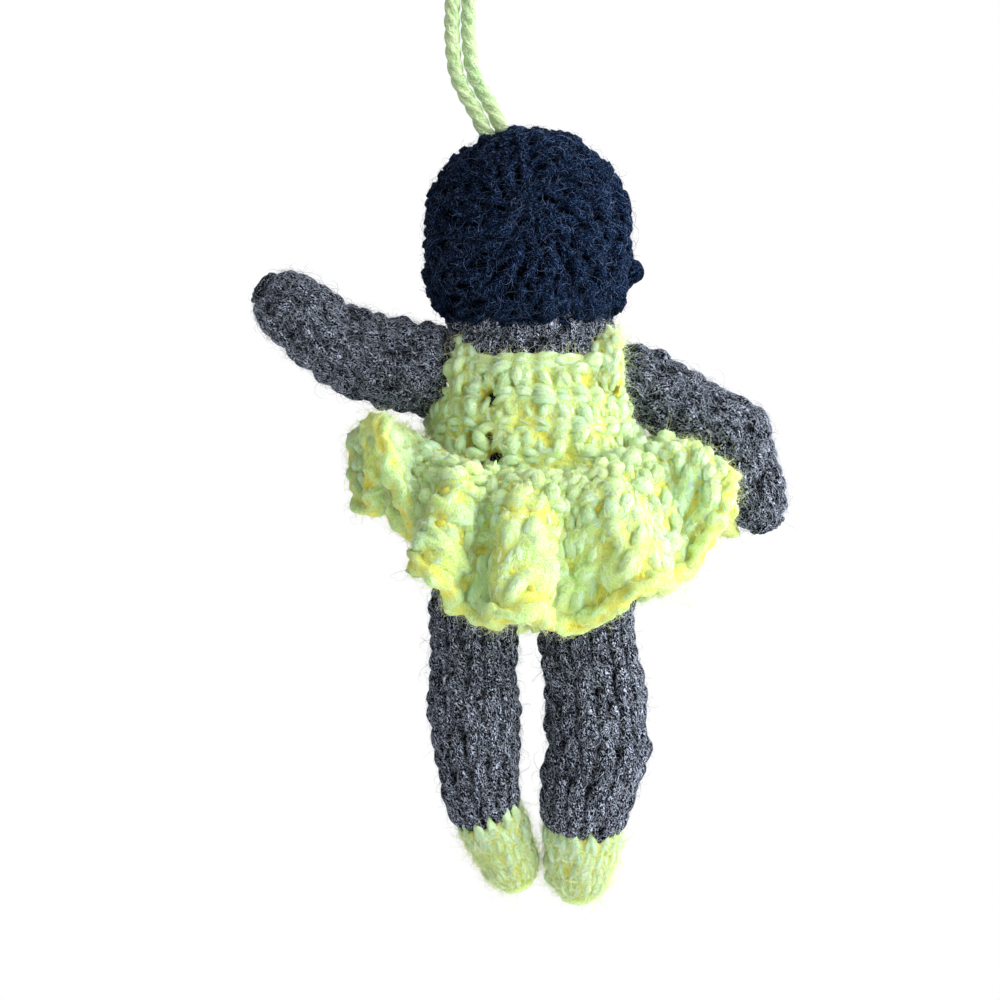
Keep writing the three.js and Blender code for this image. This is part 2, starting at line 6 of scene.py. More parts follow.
import bmesh
import bpy
import numpy as np
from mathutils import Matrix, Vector


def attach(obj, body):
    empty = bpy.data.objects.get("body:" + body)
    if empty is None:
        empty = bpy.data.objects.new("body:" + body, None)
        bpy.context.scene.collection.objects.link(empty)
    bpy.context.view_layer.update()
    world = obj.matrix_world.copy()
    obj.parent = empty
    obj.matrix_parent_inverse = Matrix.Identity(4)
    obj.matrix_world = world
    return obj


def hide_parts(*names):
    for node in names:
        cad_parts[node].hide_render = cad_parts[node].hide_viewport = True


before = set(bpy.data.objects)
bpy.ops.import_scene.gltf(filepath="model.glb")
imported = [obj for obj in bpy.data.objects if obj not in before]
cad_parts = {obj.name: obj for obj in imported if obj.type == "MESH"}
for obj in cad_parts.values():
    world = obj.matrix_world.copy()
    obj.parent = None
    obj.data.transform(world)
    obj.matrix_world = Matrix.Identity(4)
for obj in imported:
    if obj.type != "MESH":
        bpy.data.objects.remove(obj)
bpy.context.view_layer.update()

# Studio
# A camera square on the doll's back, two soft lamps on the right, a weak one on the left and one for the
# doll's front. A white floor takes the shadow and fades into a white room that is brighter on the right.
scene = bpy.context.scene
scene.view_settings.view_transform = "Standard"

VIEW_WIDTH = 0.16345
VIEW_MIDDLE = Vector((0.0057, 0, -0.1493))
CAMERA_LENS = 150
LAMPS = {
    "lamp_right": ((0.29, -0.26, -0.08), 0.30, 1.34, (0.95, 0.98, 1.0)),
    "lamp_side": ((0.34, -0.08, 0.02), 0.25, 1.25, (0.95, 0.98, 1.0)),
    "lamp_left": ((-0.45, -0.55, 0.05), 0.45, 0.20, (1.0, 0.98, 0.95)),
    "lamp_front": ((0.25, 0.60, 0.20), 0.45, 4.4, (1.0, 1.0, 1.0)),
}
FLOOR_LEVEL = -0.30
FLOOR_HALF_SIZE = 3.0
camera_data = bpy.data.cameras.new("camera")
camera_data.lens = CAMERA_LENS
camera = bpy.data.objects.new("camera", camera_data)
camera_distance = VIEW_WIDTH * CAMERA_LENS / camera_data.sensor_width
camera.location = VIEW_MIDDLE + Vector((0, -camera_distance, 0))
camera.rotation_euler = (math.pi / 2, 0, 0)
scene.collection.objects.link(camera)
scene.camera = camera
for name, (place, size, power, colour) in LAMPS.items():
    lamp = bpy.data.lights.new(name, "AREA")
    lamp.size = size
    lamp.energy = power
    lamp.color = colour
    holder = bpy.data.objects.new(name, lamp)
    holder.location = place
    holder.rotation_euler = (VIEW_MIDDLE - Vector(place)).to_track_quat("-Z", "Y").to_euler()
    scene.collection.objects.link(holder)


def set_inputs(tree, node, inputs):
    """Gives each input a value, or links it to a node's output when it is given as a node and an output."""
    for socket, value in inputs.items():
        if isinstance(value, tuple) and isinstance(value[0], bpy.types.Node):
            tree.links.new(value[0].outputs[value[1]], node.inputs[socket])
        else:
            node.inputs[socket].default_value = value


def add_node(tree, kind, inputs=None, **settings):
    node = tree.nodes.new("ShaderNode" + kind)
    for label, setting in settings.items():
        setattr(node, label, setting)
    set_inputs(tree, node, inputs or {})
    return node


def new_material(name):
    """A material, its node tree and its shader."""
    material = bpy.data.materials.new(name)
    material.use_nodes = True
    return material, material.node_tree, material.node_tree.nodes["Principled BSDF"]


def seen_directly(tree):
    """1 for rays from the camera, or by way of a mirror or glass, and 0 for light that lands on things."""
    path = add_node(tree, "LightPath")
    seen = path, "Is Camera Ray"
    for other in ("Is Glossy Ray", "Is Transmission Ray"):
        seen = add_node(tree, "Math", {0: seen, 1: (path, other)}, operation="ADD", use_clamp=True), 0
    return seen


world = bpy.data.worlds.new("studio")
scene.world = world
world.use_nodes = True
tree = world.node_tree
tree.nodes.clear()
across = add_node(tree, "SeparateXYZ", {0: (add_node(tree, "TexCoord"), "Generated")})
window_side = add_node(
    tree, "MapRange", {"Value": (across, "X"), "From Min": -1.0, "To Min": 0.28, "To Max": 0.78},
)
room_light = add_node(
    tree, "Background", {"Color": (0.93, 0.96, 1.0, 1), "Strength": (window_side, "Result")},
)
white_room = add_node(tree, "Background", {"Color": (1, 1, 1, 1), "Strength": 1.0})
choose = add_node(tree, "MixShader", {"Fac": seen_directly(tree), 1: (room_light, 0), 2: (white_room, 0)})
add_node(tree, "OutputWorld", {"Surface": (choose, 0)})

floor_mesh = bpy.data.meshes.new("floor")
floor_grid = bmesh.new()
bmesh.ops.create_grid(floor_grid, x_segments=8, y_segments=8, size=FLOOR_HALF_SIZE)
floor_grid.to_mesh(floor_mesh)
floor_grid.free()
floor = bpy.data.objects.new("floor", floor_mesh)
floor.location = (0, 0, FLOOR_LEVEL)
scene.collection.objects.link(floor)
floor_paint, tree, matt = new_material("floor_paint")
set_inputs(tree, matt, {"Roughness": 1.0, "Base Color": (0.94, 0.94, 0.94, 1)})
glow = add_node(tree, "Emission", {"Strength": 1.0})
from_middle = add_node(tree, "VectorMath", {0: (add_node(tree, "TexCoord"), "Object")}, operation="LENGTH")
fade = add_node(
    tree, "MapRange", {"Value": (from_middle, "Value"), "From Min": 0.05, "From Max": 0.45, "To Min": 0.55},
    interpolation_type="SMOOTHSTEP",
)
share = add_node(tree, "Math", {0: seen_directly(tree), 1: (fade, "Result")}, operation="MULTIPLY")
blend_floor = add_node(tree, "MixShader", {"Fac": (share, 0), 1: (matt, 0), 2: (glow, 0)})
set_inputs(tree, tree.nodes["Material Output"], {"Surface": (blend_floor, 0)})
floor_mesh.materials.append(floor_paint)

# Hanging loop
# One length of plied yarn that rises from the crown, turns over the hook and comes back down.
# Its two runs lie side by side, and both ends go into the knot under the hair.
LOOP_ROUTE = [
    (0.0046, -0.0910), (0.0032, -0.0890), (0.0019, -0.0862), (0.0, -0.0829), (-0.0013, -0.0800),
    (-0.0019, -0.0766), (-0.00215, -0.0720), (-0.00205, -0.0676), (-0.00175, -0.0580),
    (-0.0015, -0.0470), (-0.0017, -0.0360), (-0.0025, -0.0250), (-0.0036, -0.0160),
    (-0.0045, -0.0090), (-0.0048, -0.00365), (-0.0034, -0.00025), (0.0, 0.00115),
    (0.0034, -0.00025), (0.0048, -0.00365), (0.0045, -0.0090), (0.0036, -0.0160),
    (0.0025, -0.0250), (0.0016, -0.0360), (0.0013, -0.0470), (0.0010, -0.0580),
    (0.00065, -0.0676), (0.00055, -0.0720), (0.00085, -0.0763), (0.00135, -0.0794),
    (0.0024, -0.0817), (0.0043, -0.0850), (0.0056, -0.0878), (0.0067, -0.0902),
]
LOOP_YARN = 0.0023
FORE = np.array([0.0, 1.0, 0.0])


def unit(v):
    return v / np.maximum(np.linalg.norm(v, axis=-1, keepdims=True), 1e-12)


def even_line(points, count):
    """The same line as a row of points at even distances."""
    steps = np.linalg.norm(np.diff(points, axis=0), axis=1)
    run = np.concatenate([[0], np.cumsum(steps)])
    wanted = np.linspace(0, run[-1], count)
    return np.column_stack([np.interp(wanted, run, points[:, i]) for i in range(points.shape[1])])


def smooth_line(points, count):
    """A smooth line through the points, at even distances."""
    p = np.asarray(points, float)
    p = np.vstack([2 * p[0] - p[1], p, 2 * p[-1] - p[-2]])
    t = np.linspace(0, 1, 24, endpoint=False)[:, None]
    pieces = []
    for a, b, c, d in zip(p, p[1:], p[2:], p[3:]):
        before = np.linalg.norm(b - a) ** 0.5
        span = np.linalg.norm(c - b) ** 0.5
        after = np.linalg.norm(d - c) ** 0.5
        leave = ((b - a) / before - (c - a) / (before + span) + (c - b) / span) * span
        arrive = ((c - b) / span - (d - b) / (span + after) + (d - c) / after) * span
        pieces.append(
            (2 * t**3 - 3 * t**2 + 1) * b
            + (t**3 - 2 * t**2 + t) * leave
            + (3 * t**2 - 2 * t**3) * c
            + (t**3 - t**2) * arrive
        )
    return even_line(np.vstack(pieces + [p[-2:-1]]), count)


def new_pile():
    """Room for the strands and layers of one piece, and for the crowns of its stitches."""
    pile = {label: [] for label in ("corners", "faces", "out", "fibre", "tone", "rise", "crowns")}
    pile["count"] = 0
    return pile


def add_to(pile, corners, faces, out, fibre, tone, rise):
    pile["faces"].append(faces + pile["count"])
    pile["corners"].append(corners.reshape(-1, 3))
    pile["out"].append(out.reshape(-1, 3))
    pile["fibre"].append(fibre.reshape(-1, 3))
    pile["tone"].append(np.broadcast_to(tone, rise.shape).ravel())
    pile["rise"].append(rise.ravel())
    pile["count"] += pile["corners"][-1].shape[0]


def join_piles(pile, other):
    pile["faces"] += [faces + pile["count"] for faces in other["faces"]]
    for label in ("corners", "out", "fibre", "tone", "rise"):
        pile[label] += other[label]
    pile["count"] += other["count"]


def lay_strands(
    pile, lines, normals, radius, rise, tone, sides=8, flat=1.0, plies=3, twist=700.0, groove=0.2,
):
    """Yarns along many lines of equally many points, with their normals off the work and their radii."""
    lines = np.asarray(lines, float)
    many, points, _ = lines.shape
    radius = np.broadcast_to(radius, (many, points))
    rise = np.broadcast_to(rise, (many, points))
    along = unit(np.gradient(lines, axis=1))
    across = unit(np.cross(along, normals))
    upward = np.cross(across, along)
    steps = np.linalg.norm(np.diff(lines, axis=1), axis=2)
    run = np.concatenate([np.zeros((many, 1)), np.cumsum(steps, axis=1)], axis=1)
    angle = np.arange(sides) * 2 * np.pi / sides
    tone = np.broadcast_to(np.asarray(tone, float).reshape(-1, 1, 1), (many, points, sides))
    lay = angle - twist * run[:, :, None] + 6.3 * tone
    swell = radius[:, :, None] * (1 - groove * (0.5 + 0.5 * np.cos(plies * lay)))
    out = across[:, :, None] * np.cos(angle)[:, None] + upward[:, :, None] * np.sin(angle)[:, None]
    flatter = across[:, :, None] * np.cos(angle)[:, None] + flat * upward[:, :, None] * np.sin(angle)[:, None]
    corners = lines[:, :, None] + flatter * swell[..., None]
    length = np.broadcast_to(run[:, :, None], lay.shape)
    thick = 1000 * radius[:, :, None]
    fibre = np.stack([np.cos(lay) * thick, np.sin(lay) * thick, 260 * length + 40 * tone], axis=-1)
    ring = np.arange(sides)
    after = np.roll(ring, -1)
    start = ((np.arange(many)[:, None] * points + np.arange(points - 1)) * sides)[..., None]
    skin = np.stack([start + ring, start + ring + sides, start + after + sides, start + after], axis=-1)
    faces = [skin.reshape(-1, 4)]
    first = (np.arange(many) * points * sides)[:, None]
    last = first + (points - 1) * sides
    for i in range(sides // 2 - 1):
        faces.append(first + np.array([[i, i + 1, sides - 2 - i, sides - 1 - i]]))
        faces.append(last + np.array([[sides - 1 - i, sides - 2 - i, i + 1, i]]))
    # Painted shade and highlight: each strand is drawn lighter on its side off the work and darker on its
    # side against it.
    height = np.clip(rise[:, :, None] + 0.3 * np.sin(angle), 0, 1)
    add_to(pile, corners, np.vstack(faces), out, fibre, tone, height)


def place_piece(name, mesh, yarn_lay, material, body, node):
    """Puts a mesh on its body, with what its material reads and the CAD node that it stands for, if any."""
    for label, kind, field in (
        ("tone", "FLOAT", "value"), ("rise", "FLOAT", "value"), ("fibre", "FLOAT_VECTOR", "vector"),
    ):
        mesh.attributes.new(label, kind, "POINT")
        mesh.attributes[label].data.foreach_set(field, yarn_lay[label].astype(np.float32).ravel())
    mesh.materials.append(material)
    piece = bpy.data.objects.new(name, mesh)
    scene.collection.objects.link(piece)
    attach(piece, body)
    if node:
        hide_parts(node)
    return piece


def make_piece(name, pile, material, body, node=None):
    """A piece from all that was laid on a pile."""
    corners = np.vstack(pile["corners"])
    faces = np.vstack(pile["faces"])
    mesh = bpy.data.meshes.new(name)
    mesh.vertices.add(len(corners))
    mesh.vertices.foreach_set("co", corners.astype(np.float32).ravel())
    mesh.loops.add(faces.size)
    mesh.loops.foreach_set("vertex_index", faces.astype(np.int32).ravel())
    mesh.polygons.add(len(faces))
    mesh.polygons.foreach_set("loop_start", np.arange(0, faces.size, 4, dtype=np.int32))
    mesh.polygons.foreach_set("use_smooth", np.ones(len(faces), bool))
    mesh.update(calc_edges=True)
    yarn_lay = {label: np.concatenate(pile[label]) for label in ("tone", "rise", "fibre")}
    return place_piece(name, mesh, yarn_lay, material, body, node)


def paint(code):
    """A colour written as six hexadecimal digits, in linear light."""
    values = [int(code[i : i + 2], 16) / 255 for i in (0, 2, 4)]
    return [v / 12.92 if v < 0.04045 else ((v + 0.055) / 1.055) ** 2.4 for v in values] + [1]


# The look of spun fibre that all the yarns share: streaks that follow the twist of the strand, a painted
# highlight (Glint) on single fibres that seem to catch the light, and wide patches where the yarn is paler or
# warmer.
yarn_fibre = bpy.data.node_groups.new("yarn_fibre", "ShaderNodeTree")
for way, labels in (("INPUT", ("Fineness", "Patch Size")), ("OUTPUT", ("Fibre", "Patch", "Glint"))):
    for label in labels:
        yarn_fibre.interface.new_socket(name=label, in_out=way, socket_type="NodeSocketFloat")
group_in = yarn_fibre.nodes.new("NodeGroupInput")
group_out = yarn_fibre.nodes.new("NodeGroupOutput")
on_piece = add_node(yarn_fibre, "TexCoord"), "Object"
wander = add_node(yarn_fibre, "TexNoise", {"Vector": on_piece, "Scale": 900.0, "Detail": 1.0})
centred = add_node(
    yarn_fibre, "VectorMath", {0: (wander, "Color"), 1: (0.5, 0.5, 0.5)}, operation="SUBTRACT",
)
lay_of_fibre = add_node(yarn_fibre, "Attribute", attribute_name="fibre")
curled = add_node(
    yarn_fibre, "VectorMath", {0: (centred, "Vector"), 1: (1.6, 1.6, 1.6), 2: (lay_of_fibre, "Vector")},
    operation="MULTIPLY_ADD",
)
streak = add_node(yarn_fibre, "TexNoise", {
    "Vector": (curled, "Vector"), "Scale": (group_in, "Fineness"), "Detail": 3.0, "Roughness": 0.6,
})
contrast = add_node(yarn_fibre, "MapRange", {"Value": (streak, "Fac"), "From Min": 0.32, "From Max": 0.68})
# Glint: a painted highlight where a finer noise of single fibres is brightest.
finer = add_node(yarn_fibre, "Math", {0: (group_in, "Fineness"), 1: 1.25}, operation="MULTIPLY")
hairs = add_node(yarn_fibre, "TexNoise", {"Vector": (curled, "Vector"), "Scale": (finer, 0), "Detail": 2.0})
brightest = add_node(yarn_fibre, "MapRange", {"Value": (hairs, "Fac"), "From Min": 0.54, "From Max": 0.62})
cloud = add_node(
    yarn_fibre, "TexNoise", {"Vector": on_piece, "Scale": (group_in, "Patch Size"), "Detail": 2.0},
)
widen = add_node(yarn_fibre, "MapRange", {"Value": (cloud, "Fac"), "From Min": 0.38, "From Max": 0.66})
set_inputs(yarn_fibre, group_out, {
    "Fibre": (contrast, "Result"), "Patch": (widen, "Result"), "Glint": (brightest, "Result"),
})


def yarn_material(
    name, shades, patch, glint, sheen, gloss=0.15, fineness=3.2, patches=150.0, streaks=0.6, glow=0.0,
):
    """Yarn in its own middling shade, with painted shade deep in the gaps of the work and a painted highlight
    and glints on top of its strands.
    """
    material, tree, shader = new_material(name)
    fibre = add_node(tree, "Group", {"Fineness": fineness, "Patch Size": patches}, node_tree=yarn_fibre)
    rise = add_node(tree, "Attribute", attribute_name="rise")
    tone = add_node(tree, "Attribute", attribute_name="tone")
    # Painted shade and highlight: the height attribute rise picks the deep shade in gaps and hollows and the
    # light shade on crowns.
    ramp = add_node(tree, "ValToRGB", {"Fac": (rise, "Fac")})
    deep, light = ramp.color_ramp.elements
    deep.color = paint(shades[0])
    deep.position = 0.12
    light.color = paint(shades[2])
    ramp.color_ramp.elements.new(0.6).color = paint(shades[1])
    patch_share = add_node(tree, "Math", {0: (fibre, "Patch"), 1: patch[1]}, operation="MULTIPLY")
    patched = add_node(
        tree, "Mix", {"Factor": (patch_share, 0), "A": (ramp, "Color"), "B": paint(patch[0])},
        data_type="RGBA",
    )
    streaked = add_node(
        tree, "Mix", {"Factor": streaks, "A": (patched, "Result"), "B": (fibre, "Fibre")},
        data_type="RGBA", blend_type="OVERLAY",
    )
    # Painted highlight: the glint colour goes on the crowns, where single fibres would catch the light.
    on_crown = add_node(tree, "Math", {0: (fibre, "Glint"), 1: (rise, "Fac")}, operation="MULTIPLY")
    glint_share = add_node(tree, "Math", {0: (on_crown, 0), 1: glint[1]}, operation="MULTIPLY")
    glinting = add_node(
        tree, "Mix", {"Factor": (glint_share, 0), "A": (streaked, "Result"), "B": paint(glint[0])},
        data_type="RGBA",
    )
    level = add_node(tree, "MapRange", {"Value": (tone, "Fac"), "To Min": 0.78, "To Max": 1.12})
    shade = add_node(tree, "HueSaturation", {"Color": (glinting, "Result"), "Value": (level, "Result")})
    bump = add_node(tree, "Bump", {"Strength": 0.7, "Distance": 0.00022, "Height": (fibre, "Fibre")})
    set_inputs(tree, shader, {
        "Base Color": (shade, "Color"), "Normal": (bump, "Normal"),
        "Roughness": 0.85, "Specular IOR Level": gloss,
        "Sheen Weight": sheen[1], "Sheen Roughness": 0.4, "Sheen Tint": paint(sheen[0]),
        "Subsurface Weight": glow, "Subsurface Radius": (1.0, 0.85, 0.25), "Subsurface Scale": 0.0012,
    })
    return material


# Painted light: a darker green deep shade in the gaps, and a pale painted highlight and glints on the crowns.
loop_yarn = yarn_material(
    "loop_yarn", ("98b474", "cceab4", "e6fcd8"), patch=("e0ecb0", 0.45), glint=("f8fff4", 0.5),
    sheen=("e0ffd8", 0.2), gloss=0.08, fineness=2.6,
)
loop_path = smooth_line([(x, 0, z) for x, z in LOOP_ROUTE], 420)
loop_pile = new_pile()
lay_strands(
    loop_pile, loop_path[None], FORE, radius=0.58 * LOOP_YARN, rise=0.62, tone=[0.5],
    sides=28, plies=4, twist=620.0, groove=0.26,
)
hanging_loop = make_piece("hanging_loop_yarn", loop_pile, loop_yarn, "loop", "hanging_loop")

# Knot of the loop
# An overhand knot in the two ends of the loop's yarn. It lies under the hair in the crown of the head
# and keeps the loop from pulling out.
KNOT_AT = np.array([0.0057, 0, -0.0907])
KNOT_RADIUS = 0.0023
KNOT_YARN = 0.0007


def knot_line(middle, radius, yarn):
    """The line of an overhand knot drawn up tight, as a closed three-lobed round."""
    t = np.linspace(0, 2 * np.pi, 90)
    lobes = np.column_stack([
        np.sin(t) + 2 * np.sin(2 * t),
        np.cos(t) - 2 * np.cos(2 * t),
        -1.6 * np.sin(3 * t),
    ])
    return np.asarray(middle) + lobes * (radius - yarn) / 3


knot_pile = new_pile()
lay_strands(
    knot_pile, knot_line(KNOT_AT, KNOT_RADIUS, KNOT_YARN)[None], np.array([0.3, 0.2, 0.93]),
    radius=KNOT_YARN, rise=0.6, tone=[0.4], sides=12, plies=4, twist=1200.0, groove=0.25,
)
loop_knot = make_piece("loop_knot_yarn", knot_pile, loop_yarn, "loop", "loop_knot")

# Head
# A ball of skin-coloured yarn worked in the round from the crown down, stuffed through a hole underneath.
# Only the face shows, in the opening of the hair.
HEAD_AT = np.array([0.010217, 0, -0.105475])
SKULL_RADIUS = 0.01495
SKULL_BELOW = 0.0163
HEAD_FLATNESS = 3.5
STITCH_SINK = 0.0010


def head_surface(radius, below, pole):
    """The head's skin by the share round a pole and the distance from it."""
    pole = unit(np.asarray(pole, float))
    right = np.array([1.0, 0.0, 0.0])
    first = unit(right - pole * np.dot(right, pole))
    second = np.cross(pole, first)

    def surface(u, v):
        swing = np.asarray(v) / radius
        round_it = 2 * np.pi * np.asarray(u)
        level = np.cos(round_it)[..., None] * first + np.sin(round_it)[..., None] * second
        way = np.cos(swing)[..., None] * pole + np.sin(swing)[..., None] * level
        side = np.hypot(way[..., 0], way[..., 1]) / radius
        down = np.maximum(-way[..., 2], 0) / below
        low = (side**HEAD_FLATNESS + down**HEAD_FLATNESS) ** (-1 / HEAD_FLATNESS)
        reach = np.where(way[..., 2] < 0, low, radius)
        return HEAD_AT + way * reach[..., None]

    return surface


def on_surface(surface, u, v):
    """Points of a surface, the directions off it, and its length round at each point."""
    u, v = np.broadcast_arrays(np.asarray(u, float), np.asarray(v, float))
    du = 1e-4
    dv = 1e-5
    right = surface(u + du, v) - surface(u - du, v)
    down = surface(u, v + dv) - surface(u, v - dv)
    return surface(u, v), unit(np.cross(down, right)), np.linalg.norm(right, axis=-1) / (2 * du)


def lay_layer(pile, outside, inside, normals, rise, open_at=None):
    """A closed layer between an outside and an inside of rings, left open where open_at says."""
    corners = np.concatenate([outside, inside[::-1]])
    count, around, _ = corners.shape
    i = np.arange(count)[:, None]
    j = np.arange(around)[None, :]
    here = i * around
    below = (i + 1) % count * around
    beside = (j + 1) % around
    faces = np.stack([here + j, below + j, below + beside, here + beside], axis=-1).reshape(-1, 4)
    if open_at is not None:
        gone = open_at(corners.reshape(-1, 3))
        faces = faces[~gone[faces].all(axis=1)]
    # Painted shade: the inside of a layer takes the deepest shade of the yarn.
    level = np.concatenate([rise, np.full(rise.shape, 0.1)])
    fibre = corners * np.array([1000.0, 1000.0, 300.0])
    add_to(pile, corners, faces, np.concatenate([normals, -normals[::-1]]), fibre, 0.5, level)


def lay_fabric(pile, surface, around, rows, outside, inside, rise=0.1, open_at=None):
    """A plain layer of fabric between two depths under a surface."""
    u = np.arange(around) / around
    places, normals, _ = on_surface(surface, u[None, :], np.asarray(rows, float)[:, None])
    # Painted shade: the layer's height is rise, by default the deep shade that fills the gaps between
    # stitches.
    level = np.full(places.shape[:2], rise)
    lay_layer(pile, places - normals * outside, places - normals * inside, normals, level, open_at)


def lay_nap(
    pile, stitched, surface, around, rows, yarn, sink, inside, convert=None, open_at=None, dip=None,
):
    """The nap of fuzzy yarn: a layer whose outside drapes softly over the stitches that a pile holds."""
    u = np.arange(around) / around
    rows = np.asarray(rows, float)
    places, normals, round_it = on_surface(surface, u[None, :], rows[:, None])
    low = -0.4 * yarn
    height = np.full(places.shape[:2], low)
    for uu, vv, top in stitched["crowns"]:
        down = vv if convert is None else convert(uu, vv)
        i = np.round((down - rows[0]) / (rows[1] - rows[0])).astype(int)
        j = np.round(uu * around).astype(int) % around
        seen = (i >= 0) & (i < len(rows))
        np.maximum.at(height, (i[seen], j[seen]), top[seen])
    across = round_it.mean() / around
    along = np.linalg.norm(np.diff(places, axis=0), axis=2).mean()
    wide = int(yarn / across)
    tall = int(yarn / along)
    edged = np.pad(height, ((tall, tall), (0, 0)), constant_values=low)
    draped = height
    for a in range(-tall, tall + 1):
        for b in range(-wide, wide + 1):
            away = math.hypot(a * along, b * across)
            if away < yarn:
                moved = np.roll(edged[tall + a : tall + a + len(rows)], b, axis=1)
                draped = np.maximum(draped, moved - yarn + math.sqrt(yarn**2 - away**2))
    draped = draped + np.random.default_rng(around).normal(0, 0.12 * yarn, draped.shape)
    draped = (np.roll(draped, 1, axis=1) + 2 * draped + np.roll(draped, -1, axis=1)) / 4
    edged = np.pad(draped, ((1, 1), (0, 0)), mode="edge")
    draped = (edged[:-2] + 2 * draped + edged[2:]) / 4
    hollow = np.zeros(draped.shape) if dip is None else dip(places)
    draped = draped - hollow
    # Painted shade and highlight: the nap is drawn in the deep shade in its hollows and at the loose
    # stitches' dips, and light on its crowns.
    deepest, highest = np.quantile(draped, (0.04, 0.96))
    rise = 0.12 + 0.58 * np.clip((draped - deepest) / (highest - deepest), 0, 1)
    outer = places + normals * (draped - sink)[..., None]
    inner = places - normals * (inside + hollow)[..., None]
    lay_layer(pile, outer, inner, normals, rise, open_at)


def spread_rows(rows, keep):
    """Each stitch of the rows: its place round and down, its share of the round and its height."""
    u = np.concatenate([(np.arange(n) + shift) / n for _, n, shift, _ in rows])
    v = np.concatenate([np.full(n, place) for place, n, _, _ in rows])
    wide = np.concatenate([np.full(n, 1 / n) for _, n, _, _ in rows])
    tall = np.concatenate([np.full(n, height) for _, n, _, height in rows])
    if keep is None:
        return u, v, wide, tall
    kept = keep(u, v)
    return u[kept], v[kept], wide[kept], tall[kept]


def lay_stitches(pile, surface, rows, yarn, seed, lean=0.0, loose=0.12, reach=1.35, keep=None, sides=8):
    """Rows of stitches that show as a V. Each row is its place, its count, its shift and its height."""
    rng = np.random.default_rng(seed)
    u, v, wide, tall = spread_rows(rows, keep)
    u = u + wide * rng.normal(0, 0.35 * loose, u.shape)
    v = v + tall * rng.normal(0, 0.6 * loose, v.shape)
    t = np.linspace(0, 1, 9)
    for side in (-1, 1):
        open_to = rng.normal(1, loose, u.shape)[:, None]
        size = rng.normal(1, loose, u.shape)[:, None]
        spread = (0.1 + 0.34 * np.sin(t * np.pi / 2)) * open_to
        uu = u[:, None] + wide[:, None] * (side * spread + lean * (t - 0.5))
        vv = v[:, None] + tall[:, None] * reach * (0.33 - t)
        places, normals, round_it = on_surface(surface, uu, vv)
        fat = np.minimum(yarn, 0.29 * round_it * wide[:, None])
        fat = fat * size * (0.6 + 0.4 * np.sin(np.pi * t))
        lift = fat * (1.15 * np.sin(np.pi * t) ** 0.7 - 0.5)
        pile["crowns"].append((uu, vv, lift + 0.85 * fat))
        lines = places + normals * lift[..., None]
        # Painted shade: each leg is darker at its ends, where it goes into the work, and lighter at its
        # middle.
        height = 0.2 + 0.5 * np.sin(np.pi * t)
        lay_strands(pile, lines, normals, fat, height, rng.random(len(u)), sides=sides, flat=0.85)


def lay_fuzz(pile, source, count, length, seed, thick=0.000024, stand=0.2):
    """Loose fibres that stand off the crowns of a piece and curl over."""
    rng = np.random.default_rng(seed)
    corners = np.vstack(source["corners"])
    outs = np.vstack(source["out"])
    from_top = np.flatnonzero(np.concatenate(source["rise"]) > 0.25)
    pick = rng.choice(from_top, count)
    start = corners[pick]
    up = unit(outs[pick])
    flow = rng.normal(size=(count, 3))
    flow = unit(flow - up * np.sum(flow * up, axis=1, keepdims=True))
    turn = np.cross(up, flow)
    far = (length * rng.gamma(3.0, 1 / 3, count))[:, None, None]
    bend = (rng.choice([-1, 1], count) * rng.uniform(0.3, 3.6, count))[:, None, None]
    high = (stand * rng.gamma(2.0, 0.5, count))[:, None, None]
    t = np.linspace(0, 1, 5)[None, :, None]
    ahead = flow[:, None] * np.sin(bend * t) / bend
    aside = turn[:, None] * (1 - np.cos(bend * t)) / bend
    lines = start[:, None] + far * (ahead + aside + up[:, None] * high * np.sin(2.4 * t))
    radius = thick * (1 - 0.75 * t[0, :, 0]) * rng.uniform(0.7, 1.3, count)[:, None]
    lay_strands(pile, lines, up[:, None], radius, 1.0, rng.random(count), sides=3, plies=0, groove=0.0)


def add_fuzz(name, source, material, body, slot, **fibres):
    """A piece of loose fibres that stand off another piece."""
    pile = new_pile()
    lay_fuzz(pile, source, **fibres)
    return make_piece(name, pile, material, body)


def crochet(surface, rows, stitches, nap):
    """Stitches on a surface with their nap, on one pile, and the nap alone on another."""
    pile = new_pile()
    lay_stitches(pile, surface, rows, **stitches)
    nap_pile = new_pile()
    lay_nap(nap_pile, pile, surface, **nap)
    join_piles(pile, nap_pile)
    return pile, nap_pile


def fuzz_material(name, dark, light, sheen_tint):
    """Single fibres, each between a dark and a light shade of its yarn."""
    material, tree, shader = new_material(name)
    fibre = add_node(tree, "Group", {"Fineness": 1.0, "Patch Size": 220.0}, node_tree=yarn_fibre)
    tone = add_node(tree, "Attribute", attribute_name="tone")
    few = add_node(tree, "Math", {0: (tone, "Fac"), 1: 2.0}, operation="POWER")
    both = add_node(tree, "Math", {0: (fibre, "Patch"), 1: 0.25, 2: (few, 0)}, operation="MULTIPLY_ADD")
    mixed = add_node(
        tree, "Mix", {"Factor": (both, 0), "A": paint(dark), "B": paint(light)}, data_type="RGBA",
    )
    set_inputs(tree, shader, {
        "Base Color": (mixed, "Result"), "Roughness": 0.6, "Specular IOR Level": 0.1,
        "Sheen Weight": 0.1, "Sheen Tint": paint(sheen_tint),
    })
    return material


# Painted light: black deep shade in the gaps, and a pale blue painted highlight and glints on the crowns.
skin_yarn = yarn_material(
    "skin_yarn", ("000000", "070506", "181419"), patch=("100f15", 0.6), glint=("dce6fc", 0.9),
    sheen=("98a4c8", 0.05), gloss=0.03, fineness=4.0,
)
skin_fuzz = fuzz_material("skin_fuzz", "060405", "e6f0ff", "cfd6f0")


